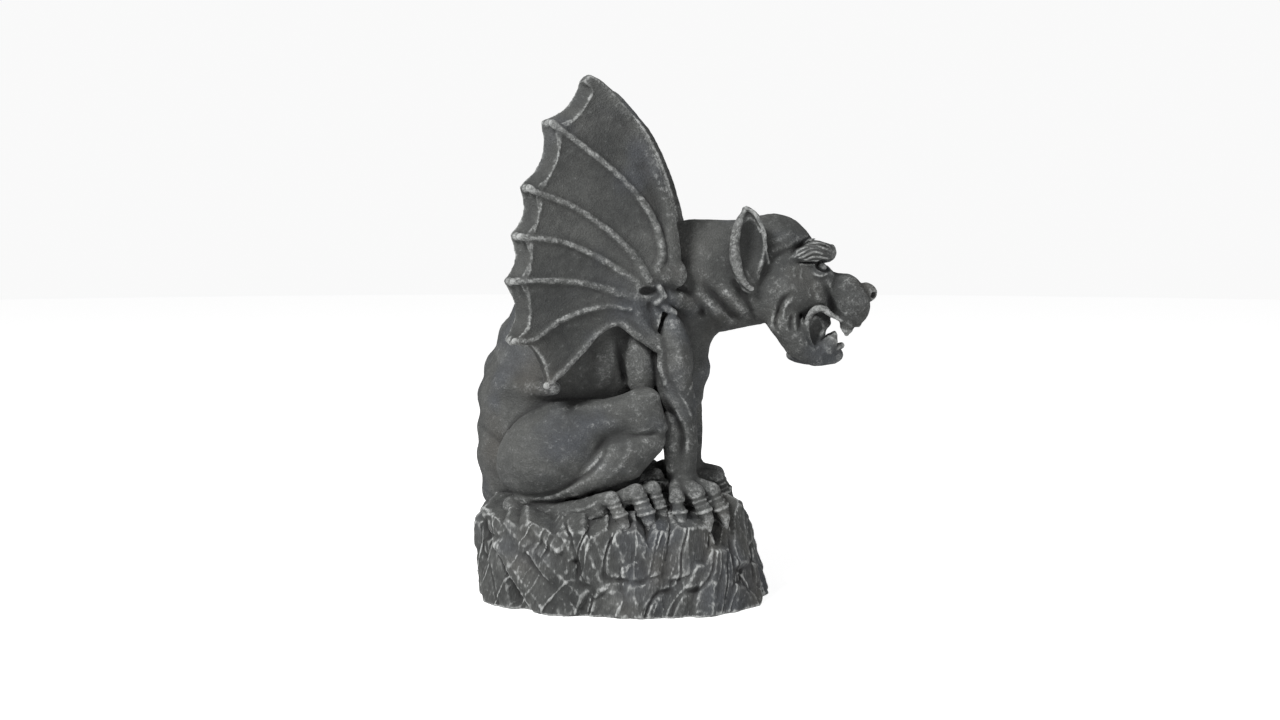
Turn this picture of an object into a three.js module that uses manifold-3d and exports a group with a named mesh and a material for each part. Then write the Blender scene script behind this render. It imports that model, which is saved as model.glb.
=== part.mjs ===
// A stone gargoyle: a winged hound sitting up on a crag of rock, cast in one piece.
// Frame: origin at the middle of the crag's flat underside, +X the way the beast looks, +Y its left,
// +Z up. Every size is in millimetres. The beast is the same on both sides, so each paired form is
// written once, for its right side (y below 0), and the crag is different all the way round.
//
// The figure is worked up as a sculptor works clay. Forms are pressed together on a grid that holds
// the distance to the surface, a skin is taken off where that distance is nought, and the skin is
// thinned to the few facets that its shape needs.
import * as THREE from "three";
import Module from "manifold-3d";

const HEIGHT = 400; // underside to wing tips
const GRID = 3.2; // spacing of the clay's grid
const FACETS = 9400; // triangles left in the skin
const SOFT = 5; // how far one form melts into the next
const CRAG = {
  height: 61, squareness: 2.6, below: 8,
  foot: { middle: 4, length: 213, width: 176 },
  top: { middle: -8, length: 198, width: 162 },
};
const WING = {
  root: [46, -40], splay: THREE.MathUtils.degToRad(25), half: 5.5, bevel: 8, bow: 5, scallop: 0.12,
};

// ---------------------------------------------------------------- forms
// A form is a box, low to high, that holds it, and at(x, y, z), the distance to its surface.

const lerp = THREE.MathUtils.lerp;
const clamp = THREE.MathUtils.clamp;

// Where two distances meet, melts them into one over a breadth of k.
function melt(a, b, k) {
  const near = Math.max(k - Math.abs(a - b), 0);
  return Math.min(a, b) - (near * near) / (4 * k);
}

function boxAround(points, reach) {
  const low = [0, 1, 2].map((i) => Math.min(...points.map((p) => p[i] - reach(p))));
  const high = [0, 1, 2].map((i) => Math.max(...points.map((p) => p[i] + reach(p))));
  return { low, high };
}

// A limb follows stations of [x, y, z, radius]; flat below 1 makes it narrower across the beast.
function limb(stations, flat = 1) {
  const bones = stations.slice(1).map((b, i) => {
    const a = stations[i];
    const d = [b[0] - a[0], (b[1] - a[1]) / flat, b[2] - a[2]];
    return { a, d, length2: d[0] ** 2 + d[1] ** 2 + d[2] ** 2, grow: b[3] - a[3] };
  });
  const at = (x, y, z) => {
    let nearest = Infinity;
    for (let i = 0; i < bones.length; i++) {
      const { a, d, length2, grow } = bones[i];
      const px = x - a[0], py = (y - a[1]) / flat, pz = z - a[2];
      const t = clamp((px * d[0] + py * d[1] + pz * d[2]) / length2, 0, 1);
      const away = Math.hypot(px - t * d[0], py - t * d[1], pz - t * d[2]) - a[3] - t * grow;
      nearest = Math.min(nearest, away);
    }
    return nearest;
  };
  return { ...boxAround(stations, (s) => s[3]), at };
}

// The rows of the turn that takes a point into a form's own axes, from turns about X, Y and Z in degrees.
function turned(degrees = [0, 0, 0]) {
  const euler = new THREE.Euler(...degrees.map(THREE.MathUtils.degToRad), "ZYX");
  const m = new THREE.Matrix4().makeRotationFromEuler(euler).elements;
  return [[m[0], m[1], m[2]], [m[4], m[5], m[6]], [m[8], m[9], m[10]]];
}

// A mass is an egg of muscle: its centre, its three radii and its turn.
function mass(centre, radii, degrees) {
  const rows = turned(degrees);
  const at = (x, y, z) => {
    const px = x - centre[0], py = y - centre[1], pz = z - centre[2];
    let scaled = 0, steep = 0;
    for (let i = 0; i < 3; i++) {
      const r = rows[i];
      const q = (px * r[0] + py * r[1] + pz * r[2]) / radii[i];
      scaled += q * q;
      steep += (q / radii[i]) ** 2;
    }
    scaled = Math.sqrt(scaled);
    return scaled < 0.01 ? -Math.min(...radii) : (scaled * (scaled - 1)) / Math.sqrt(steep);
  };
  const reach = Math.max(...radii);
  return { ...boxAround([centre], () => reach), at };
}

// A block has rounded edges: its centre, its three half sizes, its turn and the radius of its edges.
function block(centre, half, degrees, round) {
  const rows = turned(degrees);
  const at = (x, y, z) => {
    const p = [x - centre[0], y - centre[1], z - centre[2]];
    const q = rows.map((r, i) => Math.abs(p[0] * r[0] + p[1] * r[1] + p[2] * r[2]) - half[i] + round);
    return Math.hypot(...q.map((v) => Math.max(v, 0))) + Math.min(Math.max(...q), 0) - round;
  };
  const reach = Math.hypot(...half);
  return { ...boxAround([centre], () => reach), at };
}

// The same form on both sides of the beast.
function pair(form) {
  const far = Math.max(Math.abs(form.low[1]), Math.abs(form.high[1]));
  const low = [form.low[0], -far, form.low[2]];
  const high = [form.high[0], far, form.high[2]];
  return { low, high, at: (x, y, z) => form.at(x, -Math.abs(y), z) };
}

// ---------------------------------------------------------------- clay

class Clay {
  constructor(low, high, step) {
    this.low = low;
    this.step = step;
    this.count = high.map((h, i) => Math.ceil((h - low[i]) / step) + 1);
    this.value = new Float32Array(this.count[0] * this.count[1] * this.count[2]).fill(4 * SOFT);
  }

  // Keeps what change(x, y, z, value) returns for each grid point within reach of the form's box.
  work(form, reach, change) {
    const [nx, ny, nz] = this.count;
    const from = this.low.map((l, i) => Math.max(0, Math.floor((form.low[i] - reach - l) / this.step)));
    const to = this.low.map((l, i) =>
      Math.min([nx, ny, nz][i] - 1, Math.ceil((form.high[i] + reach - l) / this.step)));
    for (let k = from[2]; k <= to[2]; k++)
      for (let j = from[1]; j <= to[1]; j++) {
        const y = this.low[1] + j * this.step, z = this.low[2] + k * this.step;
        for (let i = from[0]; i <= to[0]; i++) {
          const at = (k * ny + j) * nx + i;
          this.value[at] = change(this.low[0] + i * this.step, y, z, this.value[at]);
        }
      }
  }

  press(form, soft = SOFT) {
    this.work(form, soft + 2 * this.step, (x, y, z, v) => melt(v, form.at(x, y, z), soft));
  }

  cut(form, soft = 2) {
    this.work(form, soft + 2 * this.step, (x, y, z, v) => -melt(-v, form.at(x, y, z), soft));
  }
}

// ---------------------------------------------------------------- the crag

// The crag's plan at a height: its middle along X, its half length and its half width.
function cragPlan(z) {
  const t = clamp(z / CRAG.height, 0, 1);
  return ["middle", "length", "width"].map((key, i) => lerp(CRAG.foot[key], CRAG.top[key], t) / (i ? 2 : 1));
}

// A place on the crag's flank, by its angle round the crag in degrees and its height.
function cragPlace([degrees, z]) {
  const t = THREE.MathUtils.degToRad(degrees), n = CRAG.squareness;
  const [middle, a, b] = cragPlan(z);
  const r = (Math.abs(Math.cos(t) / a) ** n + Math.abs(Math.sin(t) / b) ** n) ** (-1 / n);
  return new THREE.Vector3(middle + r * Math.cos(t), r * Math.sin(t), z);
}

function cragCore() {
  const at = (x, y, z) => {
    const [middle, a, b] = cragPlan(z);
    const n = CRAG.squareness;
    const around = (Math.abs((x - middle) / (a - 5)) ** n + Math.abs(y / (b - 5)) ** n) ** (1 / n);
    const side = (around - 1) * b;
    const rim = 6 * Math.exp(-(((Math.abs(x + 8) - 96) / 12) ** 2)); // the two ends rise a little
    return -melt(-side, CRAG.height + rim - z, 4);
  };
  const { foot } = CRAG;
  const [reachX, reachY] = [foot.length / 2 + 4, foot.width / 2];
  return { low: [-reachX, -reachY, -CRAG.below], high: [reachX, reachY, 70], at };
}

// A slab of rock on the crag's flank, from a place near its top to a place near its foot. Its breadth
// tapers to both ends, and its middle stands proud as a blunt ridge.
function slab(head, toe, breadth, proud) {
  const top = cragPlace(head), foot = cragPlace(toe);
  const along = top.clone().sub(foot), half = along.length() / 2;
  along.normalize();
  const middle = top.clone().add(foot).multiplyScalar(0.5);
  const turn = (head[0] + toe[0]) / 2;
  const beside = cragPlace([turn + 1, middle.z]).sub(cragPlace([turn - 1, middle.z])).normalize();
  const out = beside.clone().cross(along).normalize();
  const side = along.clone().cross(out);
  const DEEP = 6, [w, h] = [breadth / 2, proud + 6];
  middle.addScaledVector(out, -DEEP);
  const p = new THREE.Vector3();
  const at = (x, y, z) => {
    p.set(x, y, z).sub(middle);
    const t = Math.abs(p.dot(along)) / half;
    const narrow = 1 - 0.4 * Math.min(t, 1) ** 2;
    const [aside, outward] = [Math.abs(p.dot(side)) / (w * narrow), Math.abs(p.dot(out)) / (h * narrow)];
    const across = aside ** 1.4 + outward ** 1.4;
    return -melt(-(across ** (1 / 1.4) - 1) * Math.min(w, h) * narrow, -(t - 1) * half, 3);
  };
  return { ...boxAround([middle.toArray()], () => half + w), at };
}

function pressCrag(clay) {
  clay.press(cragCore(), 1);
  // The right flank, from its back end to its front end. The beast's right is at 270 degrees.
  const flank = [
    [[206, 70], [222, 54], 15, 5], [[222, 64], [233, 46], 15, 4], [[234, 65], [248, 44], 16, 4],
    [[212, 50], [217, 2], 20, 4], [[222, 52], [247, -2], 22, 6], [[235, 50], [257, 20], 18, 5],
    [[247, 62], [254, 42], 14, 3], [[257, 62], [264, 18], 17, 6], [[256, 20], [262, -4], 18, 3],
    [[268, 60], [275, -2], 26, 6], [[277, 62], [282, 38], 12, 5], [[285, 62], [290, 32], 12, 5],
    [[283, 40], [285, -2], 20, 6], [[298, 62], [289, 34], 13, 5], [[296, 40], [290, 16], 13, 5],
    [[313, 62], [309, 32], 36, 4], [[312, 44], [294, -2], 28, 5], [[323, 44], [312, -3], 25, 6],
    [[334, 60], [326, 20], 24, 3], [[350, 70], [340, 30], 34, 5], [[344, 26], [337, -6], 26, 6],
    [[330, 16], [324, -4], 20, 4], [[303, 12], [301, -4], 16, 3],
  ];
  for (const piece of flank) clay.press(slab(...piece), 1.5);
  // The rest leans one way and then the other, each slab a little unlike the last.
  const PIECES = 19, FROM = 358, SPAN = 202;
  for (let i = 0; i < PIECES; i++) {
    const sway = Math.sin(i * 2.4), shift = Math.cos(i * 1.7);
    const turn = FROM + (SPAN * i) / (PIECES - 1);
    const split = 36 + 12 * shift;
    clay.press(slab([turn - 6 * sway, 64], [turn + 4 * sway, split - 6], 21 + 6 * sway, 5 + shift), 1.5);
    clay.press(slab([turn + 4 + 5 * sway, split + 8], [turn + 4 - 4 * sway, -4], 23 - 5 * shift, 5), 1.5);
  }
}

// ---------------------------------------------------------------- the beast's body

function pressBody(clay) {
  const trunk = [
    [-72, 0, 84, 37], [-70, 0, 112, 43], [-48, 0, 150, 63], [-24, 0, 196, 66], [18, 0, 226, 56],
    [58, 0, 247, 45], [98, 0, 251, 41], [116, 0, 255, 36],
  ];
  clay.press(limb(trunk, 0.78));
  clay.press(mass([36, 0, 184], [32, 34, 54]), 10); // chest
  clay.press(mass([-34, 0, 104], [52, 40, 48]), 8); // belly, down to the rock
  const KNOBS = 7; // the backbone shows as a row of knobs
  for (let i = 0; i < KNOBS; i++) {
    const z = 82 + 24 * i;
    const x = -105 + 0.004 * Math.max(z - 135, 0) ** 2 + 0.002 * Math.max(135 - z, 0) ** 2;
    clay.press(mass([x, 0, z], [8.5, 10, 10]), 7);
  }
  const BREASTBONE = [[60, 176], [54, 154], [50, 136]];
  for (const [x, z] of BREASTBONE) clay.press(mass([x, 0, z], [9, 20, 9]), 6);
  // Flank muscles under the arch of the wing, and the fold that runs back from the wing's lower tip.
  clay.press(pair(mass([-10, -38, 186], [13, 12, 27], [0, 14, 0])), 3);
  clay.press(pair(mass([16, -36, 188], [13, 13, 30], [0, -6, 0])), 3);
  clay.press(pair(limb([[-88, -30, 166, 6], [-64, -47, 164, 7], [-44, -60, 168, 6]])), 8);
}

function pressHaunches(clay) {
  const CALF = [[24, -58, 128, 16], [8, -57, 114, 18], [-28, -54, 95, 14], [-66, -50, 84, 11]];
  clay.press(pair(limb(CALF)), 3);
  const THIGH_BONE = [[-36, -48, 135, 19], [-4, -58, 143, 15], [20, -62, 151, 13.5]];
  clay.press(pair(limb(THIGH_BONE)), 9);
  clay.press(pair(mass([-47, -49, 117], [45, 31, 33], [0, -30, 0])), 2); // thigh
  clay.press(pair(block([25, -61, 150], [12, 13, 15], [0, -14, 6], 8)), 8); // knee
  const FOOT = [[-78, -46, 72, 10], [-42, -56, 73, 9.5], [-14, -64, 74, 11], [0, -66, 77, 11]];
  clay.press(pair(limb(FOOT)), 2);
}

// A toe arches from its root over a knuckle to the claw's ring, and the claw hooks down to a point.
function pressToe(clay, root, knuckle, ring, point, thick) {
  clay.press(pair(limb([[...root, thick], [...knuckle, thick], [...ring, 0.82 * thick]])), 2);
  clay.press(pair(mass(knuckle, [thick * 1.15, thick * 1.1, thick * 1.1])), 2);
  const collar = ring.map((v, i) => lerp(v, point[i], 0.2));
  clay.press(pair(limb([[...ring, 0.92 * thick], [...collar, 0.9 * thick]])), 1);
  const bend = ring.map((v, i) => lerp(v, point[i], 0.55) + [1, 0, 1.5][i]);
  clay.press(pair(limb([[...ring, 0.7 * thick], [...bend, 0.5 * thick], [...point, 1]])), 1);
}

function pressHindToes(clay) {
  pressToe(clay, [-10, -67, 82], [0, -74, 85], [7.5, -79, 74], [12, -82, 58], 6);
  pressToe(clay, [4, -62, 82], [18, -69, 89], [26, -72, 75], [29.5, -74, 60], 7);
  pressToe(clay, [8, -52, 82], [29, -58, 91], [36, -61, 78], [39, -63, 63], 5.8);
  pressToe(clay, [4, -42, 78], [24, -42, 86], [32, -44, 74], [36, -45, 60], 6);
}

function pressForelegs(clay) {
  const LEG = [
    [40, -32, 205, 15], [43, -36, 170, 14], [46, -38, 148, 12.5], [47, -38, 130, 12],
    [48, -38, 112, 10.5], [48, -38, 99, 11], [54, -41, 87, 12],
  ];
  clay.press(pair(limb(LEG)), 4);
  const TENDON = [[39, -44, 160, 6], [39, -46, 138, 6], [41, -44, 116, 4.5], [43, -42, 100, 4]];
  clay.press(pair(limb(TENDON)), 2);
  clay.press(pair(mass([44, -43, 183], [13, 15, 39], [0, -13, 0])), 2); // shoulder
  clay.press(pair(mass([62, -41, 82], [18, 16, 9], [0, 14, 0])), 4);
  pressToe(clay, [47, -48, 92], [48, -60, 83], [50.5, -65, 75], [52, -69, 60], 5.8);
  pressToe(clay, [54, -48, 92], [62, -56, 88], [68, -60, 75], [73, -64, 60], 6.2);
  pressToe(clay, [60, -41, 92], [73, -45, 88], [80, -48, 75], [85, -51, 60], 6);
  pressToe(clay, [58, -33, 88], [73, -32, 86], [80, -31, 74], [86, -30, 60], 5.8);
}

// ---------------------------------------------------------------- the head

function pressHead(clay) {
  clay.press(mass([117, 0, 263], [31, 30, 33]), 8); // skull
  clay.press(pair(mass([124, -15, 241], [25, 20, 30], [0, 20, 0])), 6); // cheek
  clay.press(pair(mass([147, -11, 240], [20, 15, 21], [0, 10, 0])), 6); // the face below the eyes
  clay.press(limb([[140, 0, 244, 22], [156, 0, 236, 19], [171, 0, 231, 17]]), 4); // muzzle
  clay.press(mass([173, 0, 230], [17, 20, 17]), 4);
  clay.press(pair(mass([177.5, -11, 227], [14, 13, 16.5])), 3); // lip pads
  clay.press(pair(mass([188.5, -5, 236.5], [8.5, 6.5, 8])), 1.5); // nose
  const JAW = [[127, -19, 216, 13.5], [138, -17, 199, 12.5], [150, -12, 190, 10], [163, -5, 189, 7.5]];
  clay.press(pair(limb(JAW)), 4);
  clay.press(mass([150, 0, 188], [22, 15, 8]), 3);
  // The mouth is open: a gap runs through it from side to side, and the cheeks are hollow behind it.
  clay.cut(limb([[164, -40, 201.5, 6.5], [164, 40, 201.5, 6.5]]), 2);
  clay.cut(limb([[175, -40, 203, 7.5], [175, 40, 203, 7.5]]), 2);
  clay.cut(pair(mass([153, -27, 208], [9, 14, 14.5], [0, 12, 0])), 2);
  clay.press(pair(limb([[172, -13, 214, 6], [176, -12, 204, 2.5]])), 1.5); // upper fang
  clay.press(pair(limb([[158, -12, 193, 5], [163, -12, 198, 4], [166, -11, 203, 2]])), 1); // lower fang
  const LIPS = [
    [170, -17, 214, 2.6], [161, -21, 219, 2.6], [152, -23, 222.5, 2.8], [145.5, -25, 217, 2.8],
    [143, -25, 207, 2.6], [147, -22, 198, 2.4], [157, -16, 194.5, 2.2], [169, -9, 195, 2.2],
  ];
  clay.press(pair(limb(LIPS)), 2);
  const BROW = [[132, -26, 262, 5], [140, -26, 266, 8], [149, -21, 268, 9.5], [157.5, -12, 267, 8.5]];
  clay.press(pair(limb(BROW)), 1.5);
  clay.cut(pair(mass([160, -17, 256.5], [8, 8, 5.5])), 2); // eye socket
  clay.press(pair(mass([154.5, -14.5, 257], [5, 5, 5])), 1); // eye
}

// An ear is a leaf, thick at its root, hollowed on its outer side, with a thick rim at its back.
function pressEars(clay) {
  const LEAF = [
    [98, -39, 299, 3.2], [98, -38, 289, 8], [99, -37, 276, 13], [99, -35, 263, 13.5], [99, -33, 251, 10],
    [100, -30, 243, 7],
  ];
  clay.press(pair(limb(LEAF, 0.75)), 3);
  clay.cut(pair(mass([102, -47, 271], [12.5, 8.5, 23], [0, 4, 32])), 1.5);
  const RIM = [
    [98, -41, 299, 2.6], [93, -44, 290, 3], [90, -46, 278, 3.6], [90, -46, 265, 3.8], [92.5, -44, 253, 3.4],
    [97, -40, 245, 2.8],
  ];
  clay.press(pair(limb(RIM)), 1.5);
}

function pressNeckFolds(clay) {
  const FOLDS = [
    [[46, -32, 243, 4], [59, -35, 231, 6.5], [72, -31, 220, 6.5], [87, -20, 212, 5]],
    [[70, -34, 246, 4], [81, -34, 236, 6], [93, -28, 224, 6], [103, -17, 214, 5]],
  ];
  for (const fold of FOLDS) clay.press(pair(limb(fold)), 6);
}

// ---------------------------------------------------------------- the wings

// A place on the wing's middle sheet, from where it stands seen from the side, lifted out from the sheet.
const [SIN, COS] = [Math.sin(WING.splay), Math.cos(WING.splay)];
const wingBow = (u) => -WING.bow * Math.sin(Math.PI * clamp(u / 130, 0, 1));
function onWing([x, z, r], lift = 0) {
  const u = (WING.root[0] - x) / COS;
  const out = lift + wingBow(u);
  return [x + out * SIN, WING.root[1] - u * SIN - out * COS, z, r];
}

// The edge of the membrane seen from the side, as [x, z, bevelled]: up the arm, round the scallops
// between the finger tips, where it is bevelled, and back under the arch to the shoulder.
const FINGER_TIPS = [[-21, 392], [-46, 362], [-61, 315], [-68, 280], [-72.5, 247], [-72, 204]];
function wingOutline() {
  const run = (bevelled, start, draw) => {
    const path = new THREE.Path().moveTo(...start);
    draw(path);
    return path.getPoints(6).map((p) => [p.x, p.y, bevelled]);
  };
  const places = (list) => list.map((p) => new THREE.Vector2(...p));
  const [first, ...tips] = FINGER_TIPS;
  const ARM_EDGE = [[47, 262], [44, 293], [36, 325], [20, 361], [-3, 388], [-15, 397], first];
  const ARCH = [[-31, 181], [-14, 206], [4, 215], [20, 208], [30, 198]];
  return [
    ...run(0, [40, 242], (path) => path.splineThru(places(ARM_EDGE))),
    ...tips.flatMap((b, i) => {
      const a = FINGER_TIPS[i];
      const [dx, dz] = [b[0] - a[0], b[1] - a[1]];
      // A quadratic's middle lies halfway from its chord to its control point.
      const bend = [(a[0] + b[0]) / 2 - 2 * WING.scallop * dz, (a[1] + b[1]) / 2 + 2 * WING.scallop * dx];
      return run(1, a, (path) => path.quadraticCurveTo(...bend, ...b));
    }),
    ...run(0, [-72, 204], (path) => path.lineTo(-57, 201).quadraticCurveTo(-49, 190, -46, 169)),
    ...run(0, [-46, 169], (path) => path.splineThru(places(ARCH))),
  ];
}

function wingSheet() {
  const edge = wingOutline().map(([x, z, bevelled]) => [(WING.root[0] - x) / COS, z, bevelled]);
  const rim = (u, z) => {
    let near = Infinity, bevelled = 0, inside = false;
    edge.forEach(([au, az, on], i) => {
      const [bu, bz] = edge[(i + 1) % edge.length];
      const [du, dz] = [bu - au, bz - az];
      const t = clamp(((u - au) * du + (z - az) * dz) / (du * du + dz * dz || 1), 0, 1);
      const away = Math.hypot(u - au - t * du, z - az - t * dz);
      if (away < near) [near, bevelled] = [away, on];
      if (az > z !== bz > z && u < au + ((z - az) * du) / dz) inside = !inside;
    });
    return [inside ? -near : near, bevelled];
  };
  const at = (x, y, z) => {
    const [dx, dy] = [x - WING.root[0], y - WING.root[1]];
    const u = -dx * COS - dy * SIN;
    const w = dx * SIN - dy * COS - wingBow(u);
    if (Math.abs(w) > 4 * WING.half) return Math.abs(w) - WING.half;
    const outward = clamp((w + WING.half) / (2 * WING.half), 0, 1);
    const [away, bevelled] = rim(u, z);
    return -melt(-0.75 * (away + (1 + bevelled * WING.bevel) * outward), WING.half - Math.abs(w), 2);
  };
  return { low: [-84, -112, 164], high: [62, -26, 402], at };
}

// A finger or the arm: a tube that follows [x, z, radius] across the sheet, on its outer face.
function spoke(places, lift) {
  const curve = new THREE.CatmullRomCurve3(places.map(([x, z, r]) => new THREE.Vector3(x, z, r)));
  return limb(curve.getPoints(10).map((p) => onWing([p.x, p.y, p.z], lift)));
}

function pressWings(clay) {
  // The shoulder blade carries the wing, and fills the space behind its lower half.
  const BLADE = [[10, -38, 232, 15], [-22, -50, 214, 17], [-48, -58, 196, 15], [-54, -58, 180, 10]];
  clay.press(pair(limb(BLADE)), 8);
  clay.press(pair(wingSheet()), 2);
  const ARM = [
    [39, 250, 9.5], [41, 263, 8], [40, 283, 6.8], [37.5, 301, 6.2], [31, 322, 5.6], [22, 346, 5.2],
    [9, 368, 4.8], [-6, 387, 4.4], [-15, 393, 4.2],
  ];
  clay.press(pair(spoke(ARM, 1)), 2);
  const FINGERS = [
    [[31, 254], [33, 270], [25, 296], [6, 321], [-22, 345], [-43, 361]],
    [[24, 248], [9, 271], [-22, 297], [-49, 309], [-59, 314]],
    [[16, 246], [-8, 262], [-36, 275], [-66, 279]],
    [[14, 235], [-22, 245], [-49, 247], [-71, 247]],
    [[11, 226], [-8, 228], [-36, 219], [-56, 205], [-70, 204]],
  ];
  for (const finger of FINGERS) {
    clay.press(pair(spoke(finger.map((p, i) => [...p, 3.2 - 0.12 * i]), WING.half)), 1);
    clay.press(pair(spoke(finger.map((p) => [...p, 3]), 0.5 - WING.half)), 1);
    const tip = finger[finger.length - 1];
    clay.press(pair(mass(onWing([...tip, 0], -2).slice(0, 3), [4.2, 4.2, 4])), 2);
  }
  const HEM = [[30, 198, 5], [17, 207, 4.5], [4, 216, 3.6], [-12, 210, 3.4], [-26, 189, 3.4], [-45, 171, 3]];
  clay.press(pair(spoke(HEM, WING.half - 2)), 1.5);
  // From the wing's wrist a cord of muscle runs down behind the shoulder, and a shelf runs to the neck.
  const CORD = [[21, -53, 242, 6], [20, -53, 228, 6.5], [26, -48, 212, 7], [32, -44, 197, 6], [32, -42, 180, 5]];
  clay.press(pair(limb(CORD)), 3);
  clay.press(pair(limb([[34, -46, 236, 6], [46, -40, 230, 8], [56, -30, 226, 9]])), 4);
  clay.press(pair(mass(onWing([43, 249, 0], 3).slice(0, 3), [9.5, 8, 10])), 2); // the wing's wrist
  clay.cut(pair(mass([33, -54, 239], [5, 7, 4.5])), 2);
}

// ---------------------------------------------------------------- the skin

const minus = (a, b) => [a[0] - b[0], a[1] - b[1], a[2] - b[2]];
const dot = (a, b) => a[0] * b[0] + a[1] * b[1] + a[2] * b[2];
const cross = (a, b) => [a[1] * b[2] - a[2] * b[1], a[2] * b[0] - a[0] * b[2], a[0] * b[1] - a[1] * b[0]];

// Takes the surface off the clay by cutting each cell of the grid into six tetrahedra.
function skin(clay) {
  const [nx, ny, nz] = clay.count;
  const corner = [0, 1, 2, 3, 4, 5, 6, 7].map((c) => (c & 1) + ((c >> 1) & 1) * nx + (c >> 2) * nx * ny);
  const tetrahedra = [[0, 1, 3, 7], [0, 1, 5, 7], [0, 2, 3, 7], [0, 2, 6, 7], [0, 4, 5, 7], [0, 4, 6, 7]];
  const made = new Map();
  const points = [], faces = [];
  const place = (cell, c) => {
    const [i, j, k] = [cell % nx, Math.floor(cell / nx) % ny, Math.floor(cell / (nx * ny))];
    const steps = [i + (c & 1), j + ((c >> 1) & 1), k + (c >> 2)];
    return steps.map((n, axis) => clay.low[axis] + n * clay.step);
  };
  const crossing = (cell, a, b) => {
    const [p, q] = a < b ? [a, b] : [b, a];
    const key = (cell + corner[p]) * 8 + (q - p);
    if (!made.has(key)) {
      const [va, vb] = [clay.value[cell + corner[p]], clay.value[cell + corner[q]]];
      const t = clamp(va / (va - vb), 0.06, 0.94);
      const [pa, pb] = [place(cell, p), place(cell, q)];
      made.set(key, points.length);
      points.push(pa.map((v, axis) => lerp(v, pb[axis], t)));
    }
    return made.get(key);
  };
  const face = (ids, cell, inner) => {
    const [a, b, c] = ids.map((i) => points[i]);
    const outward = minus(a, place(cell, inner));
    const facing = dot(cross(minus(b, a), minus(c, a)), outward);
    faces.push(facing > 0 ? ids : [ids[0], ids[2], ids[1]]);
  };
  for (let k = 0; k < nz - 1; k++)
    for (let j = 0; j < ny - 1; j++)
      for (let i = 0; i < nx - 1; i++) {
        const cell = (k * ny + j) * nx + i;
        const inside = corner.map((offset) => clay.value[cell + offset] < 0);
        if (inside.every((v) => v === inside[0])) continue;
        for (const tetrahedron of tetrahedra) {
          const inn = tetrahedron.filter((c) => inside[c]);
          const out = tetrahedron.filter((c) => !inside[c]);
          if (inn.length === 1) face(out.map((c) => crossing(cell, inn[0], c)), cell, inn[0]);
          if (inn.length === 3) face(inn.map((c) => crossing(cell, c, out[0])), cell, inn[0]);
          if (inn.length === 2) {
            const ends = [[0, 0], [0, 1], [1, 1], [1, 0]];
            const [p, q, r, s] = ends.map(([m, n]) => crossing(cell, inn[m], out[n]));
            face([p, q, r], cell, inn[0]);
            face([p, r, s], cell, inn[0]);
          }
        }
      }
  return { points, faces };
}

// Keeps the largest closed surface, so that no crumb is left beside it.
function largestBody({ points, faces }) {
  const parent = points.map((_, i) => i);
  const find = (i) => {
    while (parent[i] !== i) i = parent[i] = parent[parent[i]];
    return i;
  };
  for (const [a, b, c] of faces) {
    parent[find(b)] = find(a);
    parent[find(c)] = find(a);
  }
  const size = new Map();
  for (const f of faces) size.set(find(f[0]), (size.get(find(f[0])) ?? 0) + 1);
  const main = [...size].reduce((m, s) => (s[1] > m[1] ? s : m))[0];
  return { points, faces: faces.filter((f) => find(f[0]) === main) };
}

// A heap that gives the cheapest entry first.
class Heap {
  items = [];
  push(item) {
    const list = this.items;
    let i = list.push(item) - 1;
    for (let up = (i - 1) >> 1; i > 0 && list[up].cost > item.cost; up = (i - 1) >> 1) {
      list[i] = list[up];
      i = up;
    }
    list[i] = item;
  }
  pop() {
    const list = this.items, top = list[0], last = list.pop();
    if (!list.length) return top;
    let i = 0;
    for (let child = 1; child < list.length; child = 2 * i + 1) {
      if (child + 1 < list.length && list[child + 1].cost < list[child].cost) child++;
      if (list[child].cost >= last.cost) break;
      list[i] = list[child];
      i = child;
    }
    list[i] = last;
    return top;
  }
}

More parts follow.
